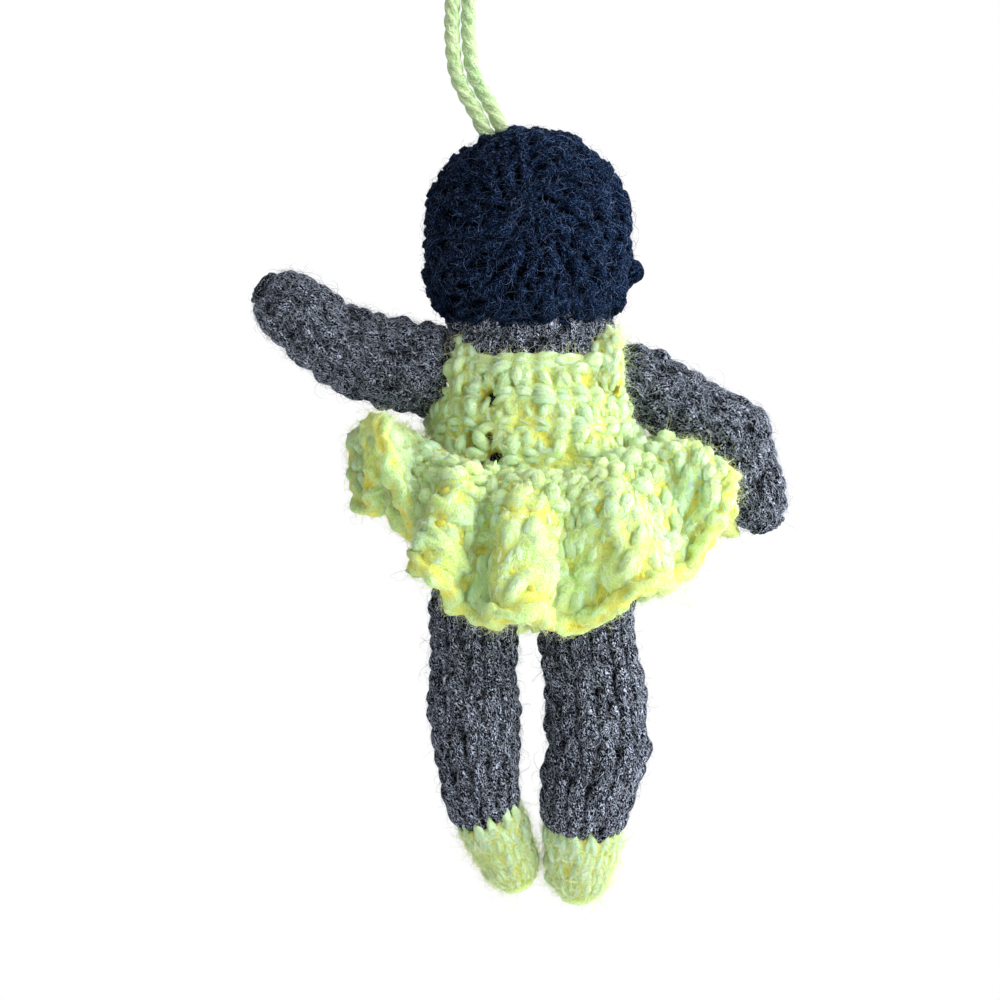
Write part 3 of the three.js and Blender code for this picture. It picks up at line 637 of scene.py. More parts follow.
def rounds(surface, first, last, tall, stitch):
    """Rows of a piece worked in the round, with as many stitches as each round has room for."""
    count = max(round((last - first) / tall), 1)
    rows = []
    for i, place in enumerate(np.linspace(first, last, count + 1)):
        _, _, round_it = on_surface(surface, np.array([0.0]), np.array([place]))
        n = max(round(float(round_it[0]) / stitch), 6)
        rows.append((place, n, 0.5 * (i % 2), (last - first) / count))
    return rows


SKULL_END = 0.0385
skull = head_surface(SKULL_RADIUS - STITCH_SINK, SKULL_BELOW - STITCH_SINK, (0, 0, 1))
head_rows = rounds(skull, first=0.0022, last=SKULL_END - 0.001, tall=0.0028, stitch=0.0030)
head_pile, head_nap = crochet(
    skull, head_rows, dict(yarn=0.0008, seed=11, lean=0.12),
    dict(around=150, rows=np.linspace(0.0004, SKULL_END, 90), yarn=0.0006, sink=0.0002, inside=0.0010),
)
head_skin = make_piece("head_skin", head_pile, skin_yarn, "head", "head_shell")
add_fuzz("head_skin_fuzz", head_nap, skin_fuzz, "head", "skin_yarn", count=3500, length=0.0012, seed=12)

# Filling
# Loose white polyester fibre, pushed into the head, the torso and each limb until they are firm.
# It lies in lumps inside the skins and shows only through wide stitches.
FILLING_LUMP = 0.0004
FILLING_SHARES = {
    "head": 0.99, "torso": 0.98, "arm_left": 0.88, "arm_right": 0.58, "leg_left": 0.90, "leg_right": 0.90,
}
filling = yarn_material(
    "filling", ("c9c6c0", "e9e7e2", "f7f6f3"), patch=("ffffff", 0.5), glint=("ffffff", 0.4),
    sheen=("ffffff", 0.4), fineness=1.2,
)
for seed, (body, share) in enumerate(FILLING_SHARES.items(), 20):
    node = body + "_stuffing"
    lumps = bmesh.new()
    lumps.from_mesh(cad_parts[node].data)
    bmesh.ops.remove_doubles(lumps, verts=lumps.verts, dist=1e-6)
    bmesh.ops.subdivide_edges(lumps, edges=lumps.edges, cuts=1, use_grid_fill=True)
    lumps.normal_update()
    rng = np.random.default_rng(seed)
    waves = rng.normal(0, 700, (6, 3))
    starts = rng.uniform(0, 6.3, 6)
    places = np.array([v.co for v in lumps.verts])
    lump = np.sin(places @ waves.T + starts).mean(axis=1)
    middle = 0.5 * (places.min(axis=0) + places.max(axis=0))
    for corner, place, height in zip(lumps.verts, places, lump):
        sunk = FILLING_LUMP * (1 + height) * np.array(corner.normal)
        corner.co = middle + share * (place - middle) - sunk
    mesh = bpy.data.meshes.new(node + "_fibre")
    lumps.to_mesh(mesh)
    lumps.free()
    mesh.polygons.foreach_set("use_smooth", np.ones(len(mesh.polygons), bool))
    fibre = 1000 * np.array([v.co for v in mesh.vertices], np.float32)
    lay = {"tone": np.full(len(lump), 0.5), "rise": 0.5 + 0.5 * lump, "fibre": fibre}
    place_piece(node + "_fibre", mesh, lay, filling, body, node)

# Hair
# A cap of black yarn crocheted in rounds from a ring at the back of the head, open in front for the face.
# Its edge is finished with a row of chain.
HAIR_RADIUS = 0.01695
HAIR_BELOW = 0.0170
HAIR_POLE = (-0.0011, -0.0166, 0.0033)
HAIR_EDGE = 0.0100
FACE_HALF_WIDTH = 0.0110
FACE_HALF_HEIGHT = 0.0140
FACE_DROP = 0.0070
HAIR_ROW = 0.0030
HAIR_STITCH = 0.0034
MOST_FIBRES = 8200
# Painted light: black deep shade in the gaps, and a blue painted highlight and glints on the crowns.
hair_yarn = yarn_material(
    "hair_yarn", ("000000", "01030a", "060c1a"), patch=("030814", 0.6), glint=("4c6896", 0.62),
    sheen=("6a8acc", 0.01), gloss=0.01, fineness=4.4,
)
hair_fuzz = fuzz_material("hair_fuzz", "000001", "7890bc", "8fa8e0")
hair = head_surface(HAIR_RADIUS - STITCH_SINK, HAIR_BELOW - STITCH_SINK, HAIR_POLE)


def off_hair(places):
    """Where the head has no hair: in front for the face, and underneath."""
    x, y, z = np.moveaxis(places - HEAD_AT, -1, 0)
    face = (y > 0.0024) & ((x / FACE_HALF_WIDTH) ** 2 + ((z + FACE_DROP) / FACE_HALF_HEIGHT) ** 2 < 1)
    under = (z < -0.008) & (np.hypot(x, y) < HAIR_EDGE)
    return face | under


hair_ways = np.linspace(0, 1, 181)
hair_steps = np.linspace(0.002, 0.0475, 400)
hair_bare = off_hair(hair(hair_ways[:, None], hair_steps[None, :]))
hair_ends = hair_steps[np.argmax(hair_bare, axis=1)]
hair_ends = np.concatenate([hair_ends[-4:-1], hair_ends, hair_ends[1:4]])
hair_ends = np.convolve(hair_ends, np.ones(7) / 7, "valid")


def hair_end(u):
    return np.interp(np.mod(u, 1), hair_ways, hair_ends)


def hair_to_edge(u, v):
    """The hair by the share round the pole and the share from the pole to the edge."""
    return hair(u, v * hair_end(u))


def lay_chain(pile, surface, place, count, yarn, wide, seed, loose=0.08):
    """A row of chain along a surface: links that each open out of the one before."""
    rng = np.random.default_rng(seed)
    u = (np.arange(count) + rng.normal(0, loose, count)) / count
    t = np.linspace(0, 1, 9)
    for side in (-1, 1):
        uu = u[:, None] + (1.45 * t - 0.2) / count
        vv = place + side * wide * np.sin(np.pi * np.minimum(0.08 + 0.75 * t, 1))
        places, normals, _ = on_surface(surface, uu, np.broadcast_to(vv, uu.shape))
        fat = yarn * (0.65 + 0.35 * np.sin(np.pi * t)) * rng.normal(1, loose, count)[:, None]
        lift = np.broadcast_to(yarn * (np.sin(np.pi * t) - 0.2), uu.shape)
        pile["crowns"].append((uu, np.broadcast_to(vv, uu.shape), lift + fat))
        lines = places + normals * lift[..., None]
        # Painted shade: each link is darker at its ends, where it goes under the next, and lighter at its
        # middle.
        lay_strands(pile, lines, normals, fat, 0.35 + 0.4 * np.sin(np.pi * t), rng.random(count))


def lay_bars(pile, surface, rows, yarn, seed, loose, sides, keep=None):
    """Rows of stitches seen from their back, which show as short bars."""
    rng = np.random.default_rng(seed)
    u, v, wide, tall = spread_rows(rows, keep)
    t = np.linspace(0, 1, 9)
    for level, slope in ((-0.22, 0.25), (0.24, -0.2)):
        tilt = rng.normal(slope, loose, u.shape)[:, None]
        size = rng.normal(1, loose, u.shape)[:, None]
        uu = u[:, None] + wide[:, None] * (1.25 * t - 0.62)
        vv = v[:, None] + tall[:, None] * (level + tilt * (t - 0.5) - 0.22 * np.sin(np.pi * t))
        places, normals, round_it = on_surface(surface, uu, vv)
        fat = np.minimum(yarn, 0.32 * round_it * wide[:, None]) * size * (0.55 + 0.45 * np.sin(np.pi * t))
        lift = fat * (1.2 * np.sin(np.pi * t) - 0.5)
        pile["crowns"].append((uu, vv, lift + 0.9 * fat))
        lines = places + normals * lift[..., None]
        # Painted shade: each bar is darker at its ends, where it goes into the work, and lighter at its
        # middle.
        height = 0.2 + 0.5 * np.sin(np.pi * t)
        lay_strands(pile, lines, normals, fat, height, rng.random(len(u)), sides=sides, flat=0.9)


hair_rows = []
for i, place in enumerate(np.arange(0.0021, 0.047, HAIR_ROW)):
    n = max(round(2 * np.pi * HAIR_RADIUS * math.sin(place / HAIR_RADIUS) / HAIR_STITCH), 6)
    hair_rows.append((place, n, 0.37 * i, HAIR_ROW))
hair_pile = new_pile()
lay_stitches(
    hair_pile, hair, hair_rows, yarn=0.00110, seed=31, lean=0.5, loose=0.26, sides=6,
    keep=lambda u, v: v < hair_end(u) - 0.0012,
)
hair_nap = new_pile()
lay_nap(
    hair_nap, hair_pile, hair_to_edge, around=200, rows=np.linspace(0.01, 1.0, 90),
    yarn=0.0008, sink=0.0002, inside=0.0010, convert=lambda u, v: v / hair_end(u),
)
join_piles(hair_pile, hair_nap)
lay_chain(hair_pile, hair_to_edge, place=0.975, count=34, yarn=0.00075, wide=0.022, seed=32)
make_piece("hair_crochet", hair_pile, hair_yarn, "head", "hair_cap")
add_fuzz(
    "hair_crochet_fuzz", hair_nap, hair_fuzz, "head", "hair_yarn", count=MOST_FIBRES, length=0.0013, seed=33,
)

# Bobble and face
# A bobble of hair yarn drawn up on the right of the head. Two wound knots of the same yarn are the eyes,
# and three short stitches of rose yarn are the mouth.
BOBBLE_AT = np.array([0.0272, 0, -0.11198])
BOBBLE_RADIUS = 0.0016
BOBBLE_STRANDS = 11
EYE_SIDE = 0.0052
EYE_UP = -0.0020
EYE_RADIUS = 0.0016
EYE_WINDINGS = 6 * np.pi
MOUTH_HALF_WIDTH = 0.0030
MOUTH_DROP = 0.0086
MOUTH_CURVE = 0.0012
MOUTH_STITCH = 0.72
MOUTH_ARCH = 0.0009
MOUTH_SINK = 0.0006
bobble_turns = np.linspace(0, 2 * np.pi, BOBBLE_STRANDS, endpoint=False)
bobble_arc = np.linspace(0.1, np.pi - 0.1, 11)
bobble_out = np.stack([
    np.broadcast_to(np.cos(bobble_arc), (BOBBLE_STRANDS, 11)),
    np.sin(bobble_arc) * np.cos(bobble_turns[:, None] + 0.6 * bobble_arc),
    np.sin(bobble_arc) * np.sin(bobble_turns[:, None] + 0.6 * bobble_arc),
], axis=-1)
bobble_pile = new_pile()
lay_strands(
    bobble_pile, BOBBLE_AT + BOBBLE_RADIUS * bobble_out, bobble_out, radius=0.00055, rise=0.55,
    tone=np.random.default_rng(41).random(BOBBLE_STRANDS),
)
make_piece("hair_bobble_yarn", bobble_pile, hair_yarn, "head", "hair_bobble")

for name, side in (("eye_left", -1), ("eye_right", 1)):
    out = unit(np.array([side * EYE_SIDE, math.sqrt(SKULL_RADIUS**2 - EYE_SIDE**2), 0.0]))
    beside = np.array([out[1], -out[0], 0.0])
    turn = np.linspace(0, EYE_WINDINGS, 70)[:, None]
    wide = EYE_RADIUS * (0.75 - 0.6 * turn / EYE_WINDINGS)
    proud = SKULL_RADIUS + 0.0003 + 0.0006 * turn / EYE_WINDINGS
    coil = HEAD_AT + np.array([0, 0, EYE_UP]) + out * proud
    coil = coil + wide * (np.cos(turn) * beside + np.sin(turn) * np.array([0.0, 0.0, 1.0]))
    eye_pile = new_pile()
    lay_strands(eye_pile, coil[None], out, radius=0.00042, rise=0.6, tone=[0.3], sides=10, twist=1500.0)
    make_piece(name + "_knot", eye_pile, hair_yarn, "head", name)

# Painted light: a dark deep shade on the strands' sides against the skin, and a pale painted highlight and
# glints on top.
mouth_yarn = yarn_material(
    "mouth_yarn", ("5a2026", "a0505a", "c8808a"), patch=("b86a70", 0.4), glint=("e8b0b8", 0.4),
    sheen=("f0c8d0", 0.3),
)
mouth_pile = new_pile()
for start in (-1.0, -0.36, 0.28):
    share_across = np.linspace(start, start + MOUTH_STITCH, 9)
    drop = MOUTH_DROP + MOUTH_CURVE * (1 - share_across**2)
    across = MOUTH_HALF_WIDTH * share_across
    skin = SKULL_RADIUS * (1 - (drop / SKULL_BELOW) ** HEAD_FLATNESS) ** (1 / HEAD_FLATNESS)
    arch = MOUTH_ARCH * np.sin(np.linspace(0.2, np.pi - 0.2, 9)) - MOUTH_SINK
    stitch = np.column_stack([across, np.sqrt(skin**2 - across**2) + arch, -drop]) + HEAD_AT
    lay_strands(mouth_pile, stitch[None], FORE, radius=0.0005, rise=0.6, tone=[start], twist=1200.0)
make_piece("mouth_stitches", mouth_pile, mouth_yarn, "head", "mouth_stitch")

# Torso
# An oval tube of skin-coloured knitting, closed at the bottom and open at the neck, with a hollow
# where each limb sits against it. It shows as a strip between the hair and the leotard.
TORSO_AT = np.array([0.011317, 0, -0.122075])
TORSO_DEPTHS = [0, 0.0032, 0.0110, 0.0181, 0.0315, 0.0375]
TORSO_WIDTHS = [0.0072, 0.0120, 0.0147, 0.0160, 0.0144, 0.0085]
TORSO_OVAL = 0.8
SOCKET_GAP = 0.00035
SHOULDER_LEFT = np.array([-0.006633, 0, -0.127975])
SHOULDER_RIGHT = np.array([0.029729, 0, -0.129775])
HIP_LEFT = np.array([0.001317, 0, -0.165675])
HIP_RIGHT = np.array([0.020217, 0, -0.165675])
SOCKETS = (
    (SHOULDER_LEFT, 0.0074), (SHOULDER_RIGHT + np.array([-0.0012, 0.0014, -0.0022]), 0.0060),
    (HIP_LEFT, 0.0070), (HIP_RIGHT, 0.0075),
)
torso_line = smooth_line(np.column_stack([TORSO_DEPTHS, TORSO_WIDTHS]), 200)


def torso_surface(proud):
    """The torso's skin, or a garment this far off it, by the share round and the distance from the neck."""
    normal = unit(np.column_stack([-np.gradient(torso_line[:, 1]), np.gradient(torso_line[:, 0])]))
    side = torso_line + proud * normal
    bottom = np.column_stack([np.full(12, side[-1, 0]), np.linspace(side[-1, 1], 0.0002, 13)[1:]])
    profile = np.vstack([side, bottom])
    run = np.concatenate([[0], np.cumsum(np.linalg.norm(np.diff(profile, axis=0), axis=1))])

    def surface(u, v):
        depth = np.interp(v, run, profile[:, 0])
        wide = np.interp(v, run, profile[:, 1])
        turn = 2 * np.pi * np.asarray(u)
        return TORSO_AT + np.stack([wide * np.cos(turn), TORSO_OVAL * wide * np.sin(turn), -depth], axis=-1)

    def at_depth(depth):
        return float(np.interp(depth, side[:, 0], run[: len(side)]))

    return surface, run[-1], at_depth


def in_sockets(places):
    """Where the limbs' rounded roots sit in the torso."""
    inside = np.zeros(places.shape[:-1], bool)
    for at, radius in SOCKETS:
        inside |= np.linalg.norm(places - at, axis=-1) < radius + SOCKET_GAP
    return inside


torso, torso_end, _ = torso_surface(-STITCH_SINK)
torso_pile = new_pile()
lay_fabric(
    torso_pile, torso, around=48, rows=np.linspace(0.0002, torso_end - 0.0003, 34),
    outside=0.0, inside=0.0007, rise=0.5, open_at=in_sockets,
)
lay_stitches(
    torso_pile, torso, [(0.0016, 18, 0.0, 0.0026), (0.0040, 24, 0.3, 0.0026), (0.0066, 28, 0.1, 0.0026)],
    yarn=0.0010, seed=51, loose=0.2, keep=lambda u, v: ~in_sockets(torso(u, v)),
)
torso_skin = make_piece("torso_skin", torso_pile, skin_yarn, "torso", "torso_shell")
torso_fuzz_pile = new_pile()
lay_fuzz(torso_fuzz_pile, torso_pile, count=1800, length=0.0016, seed=52)

# Leotard
# Lemon yellow yarn crocheted in flat rows, so that rows of V and rows of bars take turns.
# It is worked loosely, and in a few places the dark skin shows through.
LEOTARD_PROUD = 0.0011
NECKLINE_DROP = 0.0040
LEOTARD_STITCHES = 34
LEOTARD_ROW = 0.0025
LEOTARD_STITCH = 0.0028
LEOTARD_STITCH_TALL = 0.0027
LOOSE_STITCHES = ((0.0041, -0.1328, 0.0013), (0.0024, -0.1394, 0.0017), (0.0046, -0.1431, 0.0016))
LOOSE_DEPTH = 0.0034
YELLOW_FIBRES = {"thick": 0.00003, "stand": 0.3}
# Painted light: the warm orange-yellow deep shade is painted shade in the gaps, warmed for light bounced
# inside the yarn, and the pale glint is a painted highlight on the crowns.
yellow_yarn = yarn_material(
    "yellow_yarn", ("f6e650", "ccf09c", "d6fec8"), patch=("def07c", 0.5), glint=("f0ffee", 0.85),
    sheen=("d4ffc8", 0.12), gloss=0.04, fineness=4.2, patches=130.0, streaks=0.68, glow=0.35,
)
yellow_fuzz = fuzz_material("yellow_fuzz", "d8dc64", "f6ffe8", "e8ffe0")
leotard, leotard_end, leotard_at = torso_surface(LEOTARD_PROUD)
neckline = leotard_at(NECKLINE_DROP)


def leotard_gaps(places):
    """Where the leotard is open: round the limbs, and at a few loose stitches of the back."""
    gaps = in_sockets(places)
    for x, z, size in LOOSE_STITCHES:
        near = np.hypot(places[..., 0] - x, places[..., 2] - z) < size
        gaps |= near & (places[..., 1] < 0)
    return gaps


def loose_hollows(places):
    """How deep the leotard's nap sinks at its loose stitches, where the skin shows through."""
    depth = np.zeros(places.shape[:-1])
    for x, z, size in LOOSE_STITCHES:
        away = np.hypot(places[..., 0] - x, places[..., 2] - z)
        depth += LOOSE_DEPTH * np.exp(-((away / size) ** 4)) * (places[..., 1] < 0)
    return depth


def in_leotard(u, v):
    return ~leotard_gaps(leotard(u, v))


leotard_rows = []
for i, place in enumerate(np.arange(neckline + 0.0022, leotard_end - 0.002, LEOTARD_ROW)):
    _, _, round_it = on_surface(leotard, np.array([0.0, 0.25]), np.array([place, place]))
    n = min(LEOTARD_STITCHES, max(round(float(round_it.mean()) / LEOTARD_STITCH), 6))
    leotard_rows.append((place, n, 0.21 * i, LEOTARD_STITCH_TALL))
leotard_pile = new_pile()
lay_stitches(
    leotard_pile, leotard, leotard_rows[1::2], yarn=0.00095, seed=61, lean=-0.15, loose=0.3, sides=6,
    keep=in_leotard,
)
lay_bars(
    leotard_pile, leotard, leotard_rows[0::2], yarn=0.00085, seed=62, loose=0.4, sides=6, keep=in_leotard,
)
lay_chain(
    leotard_pile, leotard, place=neckline + 0.0009, count=24, yarn=0.0007, wide=0.0006, seed=63, loose=0.2,
)
leotard_nap = new_pile()
lay_nap(
    leotard_nap, leotard_pile, leotard, around=260, rows=np.linspace(neckline, leotard_end - 0.0003, 140),
    yarn=0.0006, sink=0.0001, inside=0.0009, open_at=in_sockets, dip=loose_hollows,
)
make_piece("leotard_nap", leotard_nap, yellow_yarn, "torso")
make_piece("leotard_crochet", leotard_pile, yellow_yarn, "torso", "leotard")
for name, seed in (("leotard_fuzz_one", 64), ("leotard_fuzz_two", 65)):
    add_fuzz(
        name, leotard_nap, yellow_fuzz, "torso", "yellow_yarn",
        count=MOST_FIBRES, length=0.0014, seed=seed, **YELLOW_FIBRES,
    )

# Straps
# A short band of the leotard's yarn goes over each shoulder, from the front of the neckline to the back.
# It is crocheted on from the leotard's edge and sewn down at its other end.
STRAP_SIDES = {"strap_left": -0.0104, "strap_right": 0.0116}
STRAP_LINE = [
    (-0.0086, -0.0090), (-0.0080, -0.0062), (-0.0066, -0.0034), (-0.0038, -0.0014), (0, -0.0008),
    (0.0038, -0.0014), (0.0066, -0.0034), (0.0080, -0.0062), (0.0086, -0.0090),
]
STRAP_HALF_WIDTH = 0.0027
STRAP_HALF_THICK = 0.0013


def tube_surface(line, radius_at, flat=1.0, fore=(0.0, 1.0, 0.0)):
    """A tube round a line of even points, by the share round it and the distance along it."""
    length = float(np.linalg.norm(np.diff(line, axis=0), axis=1).sum())
    run = np.linspace(0, length, len(line))
    ways = unit(np.gradient(line, axis=0))

    def surface(u, v):
        along = np.clip(v, 0, length)
        middle = np.stack([np.interp(along, run, line[:, i]) for i in range(3)], axis=-1)
        way = unit(np.stack([np.interp(along, run, ways[:, i]) for i in range(3)], axis=-1))
        front = np.asarray(fore) - way * np.sum(way * np.asarray(fore), axis=-1, keepdims=True)
        front = unit(front)
        side = np.cross(way, front)
        turn = 2 * np.pi * np.asarray(u)[..., None]
        reach, ahead = radius_at(v)
        off = side * np.cos(turn) + flat * front * np.sin(turn)
        return middle + way * (ahead - along)[..., None] + off * reach[..., None]

    return surface, length


def even_radius(radius):
    """One radius all along a tube."""
    return lambda v: (np.full(np.shape(v), radius), np.asarray(v, float))


for seed, (name, strap_side) in enumerate(STRAP_SIDES.items(), 70):
    strap_line = TORSO_AT + smooth_line([(strap_side, y, z) for y, z in STRAP_LINE], 60)
    strap, strap_length = tube_surface(
        strap_line, even_radius(STRAP_HALF_WIDTH - 0.0005),
        flat=STRAP_HALF_THICK / STRAP_HALF_WIDTH, fore=(0.0, 0.0, 1.0),
    )
    strap_rows = [(p, 4, 0.25, 0.0026) for p in np.arange(0.0014, strap_length - 0.001, 0.0024)]
    nap_rows = np.linspace(0.0002, strap_length - 0.0002, 70)
    strap_pile, strap_nap = crochet(
        strap, strap_rows, dict(yarn=0.0009, seed=seed, loose=0.25),
        dict(around=40, rows=nap_rows, yarn=0.0006, sink=0.0001, inside=0.0003),
    )
    make_piece(name + "_crochet", strap_pile, yellow_yarn, "torso", name)
    add_fuzz(
        name + "_crochet_fuzz", strap_nap, yellow_fuzz, "torso", "yellow_yarn",
        count=1800, length=0.0014, seed=seed + 2, **YELLOW_FIBRES,
    )

# Skirt
# A ruffle crocheted onto the leotard's waist: tall stitches with open gaps between them, increased in each
# row so that the rim is more than twice as long as the waist and falls in folds. A rolled edge ends it.
WAIST_DROP = 0.0181
SKIRT_WAIST = 0.0195
SKIRT_REACH_LEFT = 0.0120
SKIRT_REACH_RIGHT = 0.0135
SKIRT_REACH_BACK = 0.0110
SKIRT_DROP = 0.0310
SKIRT_SWEEP_LEFT = 1.8
SKIRT_SWEEP_RIGHT = 0.9
SKIRT_SIDE_FALL = 0.1
SKIRT_OUT_POWER = 0.8
SKIRT_DOWN_POWER = 1.5
SKIRT_FOLDS = 10
FOLD_SPREAD = 0.15
FOLD_REACH = 0.0023
FOLD_RISE_SIDE = 0.0110
FOLD_RISE_BACK = 0.0012
FOLD_POWER = 8
RUFFLES = 11
RUFFLE_DEPTH = 0.0034
LOBE_ROUNDING = 0.3
GATHERS = 17
GATHER_DEPTH = 0.0008
TURNED_UP = (math.radians(208), math.radians(26), np.array([0.0060, -0.0036, 0.0020]))
TUCKED_IN = (math.radians(140), math.radians(24), np.array([0.0042, 0.0, 0.0]))
BACK_DIP_AT = math.radians(270)
BACK_DIP_WIDTH = math.radians(44)
BACK_DIP = 0.0062
BACK_SHORTER = 0.05
HEM_RADIUS = 0.0010
HEM_STITCH = 0.0028
SKIRT_ROWS = [
    (0.05, 34), (0.155, 42), (0.26, 50), (0.365, 56), (0.47, 62), (0.575, 68), (0.68, 72), (0.785, 76),
    (0.89, 80),
]
SKIRT_ROW_SHARE = 0.115


def skirt(u, v):
    """The skirt's middle by the share round the waist and the share from waist to rim."""
    angle = 2 * np.pi * np.asarray(u, float)
    out_share = np.clip(v, 1e-4, None)
    across = np.cos(angle)
    back = np.sin(angle)
    rightness = (1 + across) / 2
    fold = np.cos(SKIRT_FOLDS * (angle - FOLD_SPREAD * np.sin(2 * angle))) * out_share
    out = out_share**SKIRT_OUT_POWER
    down = out_share**SKIRT_DOWN_POWER
    side = SKIRT_REACH_LEFT + (SKIRT_REACH_RIGHT - SKIRT_REACH_LEFT) * rightness
    sweep = SKIRT_SWEEP_LEFT + (SKIRT_SWEEP_RIGHT - SKIRT_SWEEP_LEFT) * rightness
    drop = SKIRT_DROP * np.hypot(back, SKIRT_SIDE_FALL) ** sweep
    rise = FOLD_RISE_BACK + (FOLD_RISE_SIDE - FOLD_RISE_BACK) * np.abs(across) ** FOLD_POWER
    x = across * (SKIRT_WAIST + side * out - FOLD_REACH * fold)
    y = back * (SKIRT_WAIST * TORSO_OVAL + SKIRT_REACH_BACK * out - FOLD_REACH * fold)
    return TORSO_AT + np.stack([x, y, -WAIST_DROP - drop * down - rise * fold], axis=-1)


def ruffled(u, v):
    """The skirt with the smaller ruffles of its soft yarn. Its line dips behind, and its left turns up."""
    u, v = np.broadcast_arrays(np.asarray(u, float), np.asarray(v, float))
    turn = 2 * np.pi * np.mod(u, 1)
    high = np.clip(-np.cos(SKIRT_FOLDS * (turn - FOLD_SPREAD * np.sin(2 * turn))), 0, 1)
    v = v * (1 - LOBE_ROUNDING * (high * np.abs(np.cos(turn)) ** FOLD_POWER) ** 2)
    v = v * (1 - BACK_SHORTER * np.clip(-np.sin(turn), 0, 1))
    places, normals, _ = on_surface(skirt, u, v)
    beside = unit(skirt(u + 1e-4, v) - skirt(u - 1e-4, v))
    full = np.clip(v, 0, 1.05)
    uneven = 0.5 * np.sin(3 * turn + 1.0) + 0.3 * np.sin(5 * turn + 2.2)
    phase = RUFFLES * turn + 1.6 * uneven + 0.8 * full
    calm = 1 - 0.65 * np.cos(turn) ** 4
    off = RUFFLE_DEPTH * calm * (1 + 0.5 * uneven) * np.sin(phase) * full**1.2
    gathered = np.sin(np.pi * np.clip(v, 0, 1)) ** 2
    off = off + GATHER_DEPTH * np.sin(GATHERS * turn + 4 * uneven - 1.8) * gathered
    off = off + 0.0004 * np.sin(31 * turn + 5 * uneven + 4 * v) * full
    sway = 0.4 * RUFFLE_DEPTH * calm * np.sin(2 * phase) * full**1.5
    for at, width, pull in (TURNED_UP, TUCKED_IN):
        pulled = np.exp(-(((turn - at) / width) ** 2)) * full**1.6
        places = places + pull * pulled[..., None]
    dip = BACK_DIP * np.exp(-(((turn - BACK_DIP_AT) / BACK_DIP_WIDTH) ** 2)) * (1 - np.clip(v, 0, 1)) ** 2
    places = places - np.array([0, 0, 1]) * dip[..., None]
    return places + normals * off[..., None] + beside * sway[..., None]


def ruffled_inside(u, v):
    """The same ruffles as seen from under the skirt."""
    return ruffled(-np.asarray(u), v)


skirt_core_pile = new_pile()
lay_fabric(
    skirt_core_pile, ruffled, around=260, rows=np.linspace(0.0, 0.955, 28),
    outside=-0.0004, inside=0.0004, rise=0.25,
)
skirt_core = make_piece("skirt_sheet", skirt_core_pile, yellow_yarn, "torso", "skirt")
skirt_out_pile = new_pile()
skirt_in_pile = new_pile()
for row, (place, count) in enumerate(SKIRT_ROWS):
    for face, (pile, surface) in enumerate(((skirt_out_pile, ruffled), (skirt_in_pile, ruffled_inside))):
        seed = 110 + 10 * row + face
        tall_row = [(place, count, 0.4 * row, SKIRT_ROW_SHARE)]
        top_row = [(place + 0.45 * SKIRT_ROW_SHARE, count, 0.4 * row, 0.7 * SKIRT_ROW_SHARE)]
        lay_stitches(pile, surface, tall_row, yarn=0.0011, seed=seed, lean=0.4, loose=0.35, sides=6)
        if row % 2:
            lay_bars(pile, surface, top_row, yarn=0.0010, seed=seed + 5, loose=0.4, sides=6)
skirt_out_nap = new_pile()
skirt_in_nap = new_pile()
for nap, stitches, surface in (
    (skirt_out_nap, skirt_out_pile, ruffled), (skirt_in_nap, skirt_in_pile, ruffled_inside),
):
    lay_nap(
        nap, stitches, surface, around=480, rows=np.linspace(0.0, 0.985, 76),
        yarn=0.0007, sink=0.0001, inside=-0.0001,
    )
hem_line = even_line(ruffled(np.linspace(0.25, 1.25, 1600), np.full(1600, 0.98)), 900)
hem, hem_length = tube_surface(hem_line, even_radius(HEM_RADIUS), fore=(0.0, 0.0, 1.0))
hem_places = np.arange(0.001, hem_length, HEM_STITCH)
hem_rows = [(place, 3, 0.37 * i, HEM_STITCH) for i, place in enumerate(hem_places)]
hem_stitches = new_pile()
lay_stitches(hem_stitches, hem, hem_rows, yarn=0.0009, seed=84, lean=0.5, loose=0.3, sides=6)
skirt_hem_pile = new_pile()
lay_nap(
    skirt_hem_pile, hem_stitches, hem, around=20, rows=np.linspace(0, hem_length, 1000),
    yarn=0.0006, sink=0.0, inside=0.0004,
)
for name, pile in (
    ("skirt_stitches_outside", skirt_out_pile), ("skirt_stitches_inside", skirt_in_pile),
    ("skirt_nap_outside", skirt_out_nap), ("skirt_nap_inside", skirt_in_nap), ("skirt_hem", skirt_hem_pile),
):
    make_piece(name, pile, yellow_yarn, "torso")
for name, source, count, seed in (
    ("skirt_fuzz_upper", skirt_out_nap, MOST_FIBRES, 87),
    ("skirt_fuzz_outside", skirt_out_nap, MOST_FIBRES, 88),
    ("skirt_fuzz_inside", skirt_in_nap, MOST_FIBRES, 89),
    ("skirt_fuzz_hem", skirt_hem_pile, 8000, 90),
):
    add_fuzz(
        name, source, yellow_fuzz, "torso", "yellow_yarn",
        count=count, length=0.0014, seed=seed, **YELLOW_FIBRES,
    )

# Ties
# Sewing yarn that holds the parts together: one through the neck, and one in each shoulder and hip, drawn
# tight with a knot on each end inside the filling. A band of slanted stitches closes the neck all round.
TIE_YARN = 0.0009
TIE_KNOT = 0.0020
TIE_KNOT_YARN = 0.0006
TIES = {
    "neck_tie": ((0.010217, 0, -0.131075), (0, 0, 1), 0.016),
    "shoulder_tie_left": (SHOULDER_LEFT, (0.9455, 0, -0.3256), 0.011),
    "shoulder_tie_right": (SHOULDER_RIGHT, (-0.9659, 0, 0.2588), 0.011),
    "hip_tie_left": (HIP_LEFT, (0, 0, 1), 0.013),
    "hip_tie_right": (HIP_RIGHT, (0, 0, 1), 0.013),
}
SEAM_AT = TORSO_AT + np.array([-0.0008, 0, -0.0036])
SEAM_TALL = 0.0058
SEAM_RADII = [0.0124, 0.0125, 0.0125]


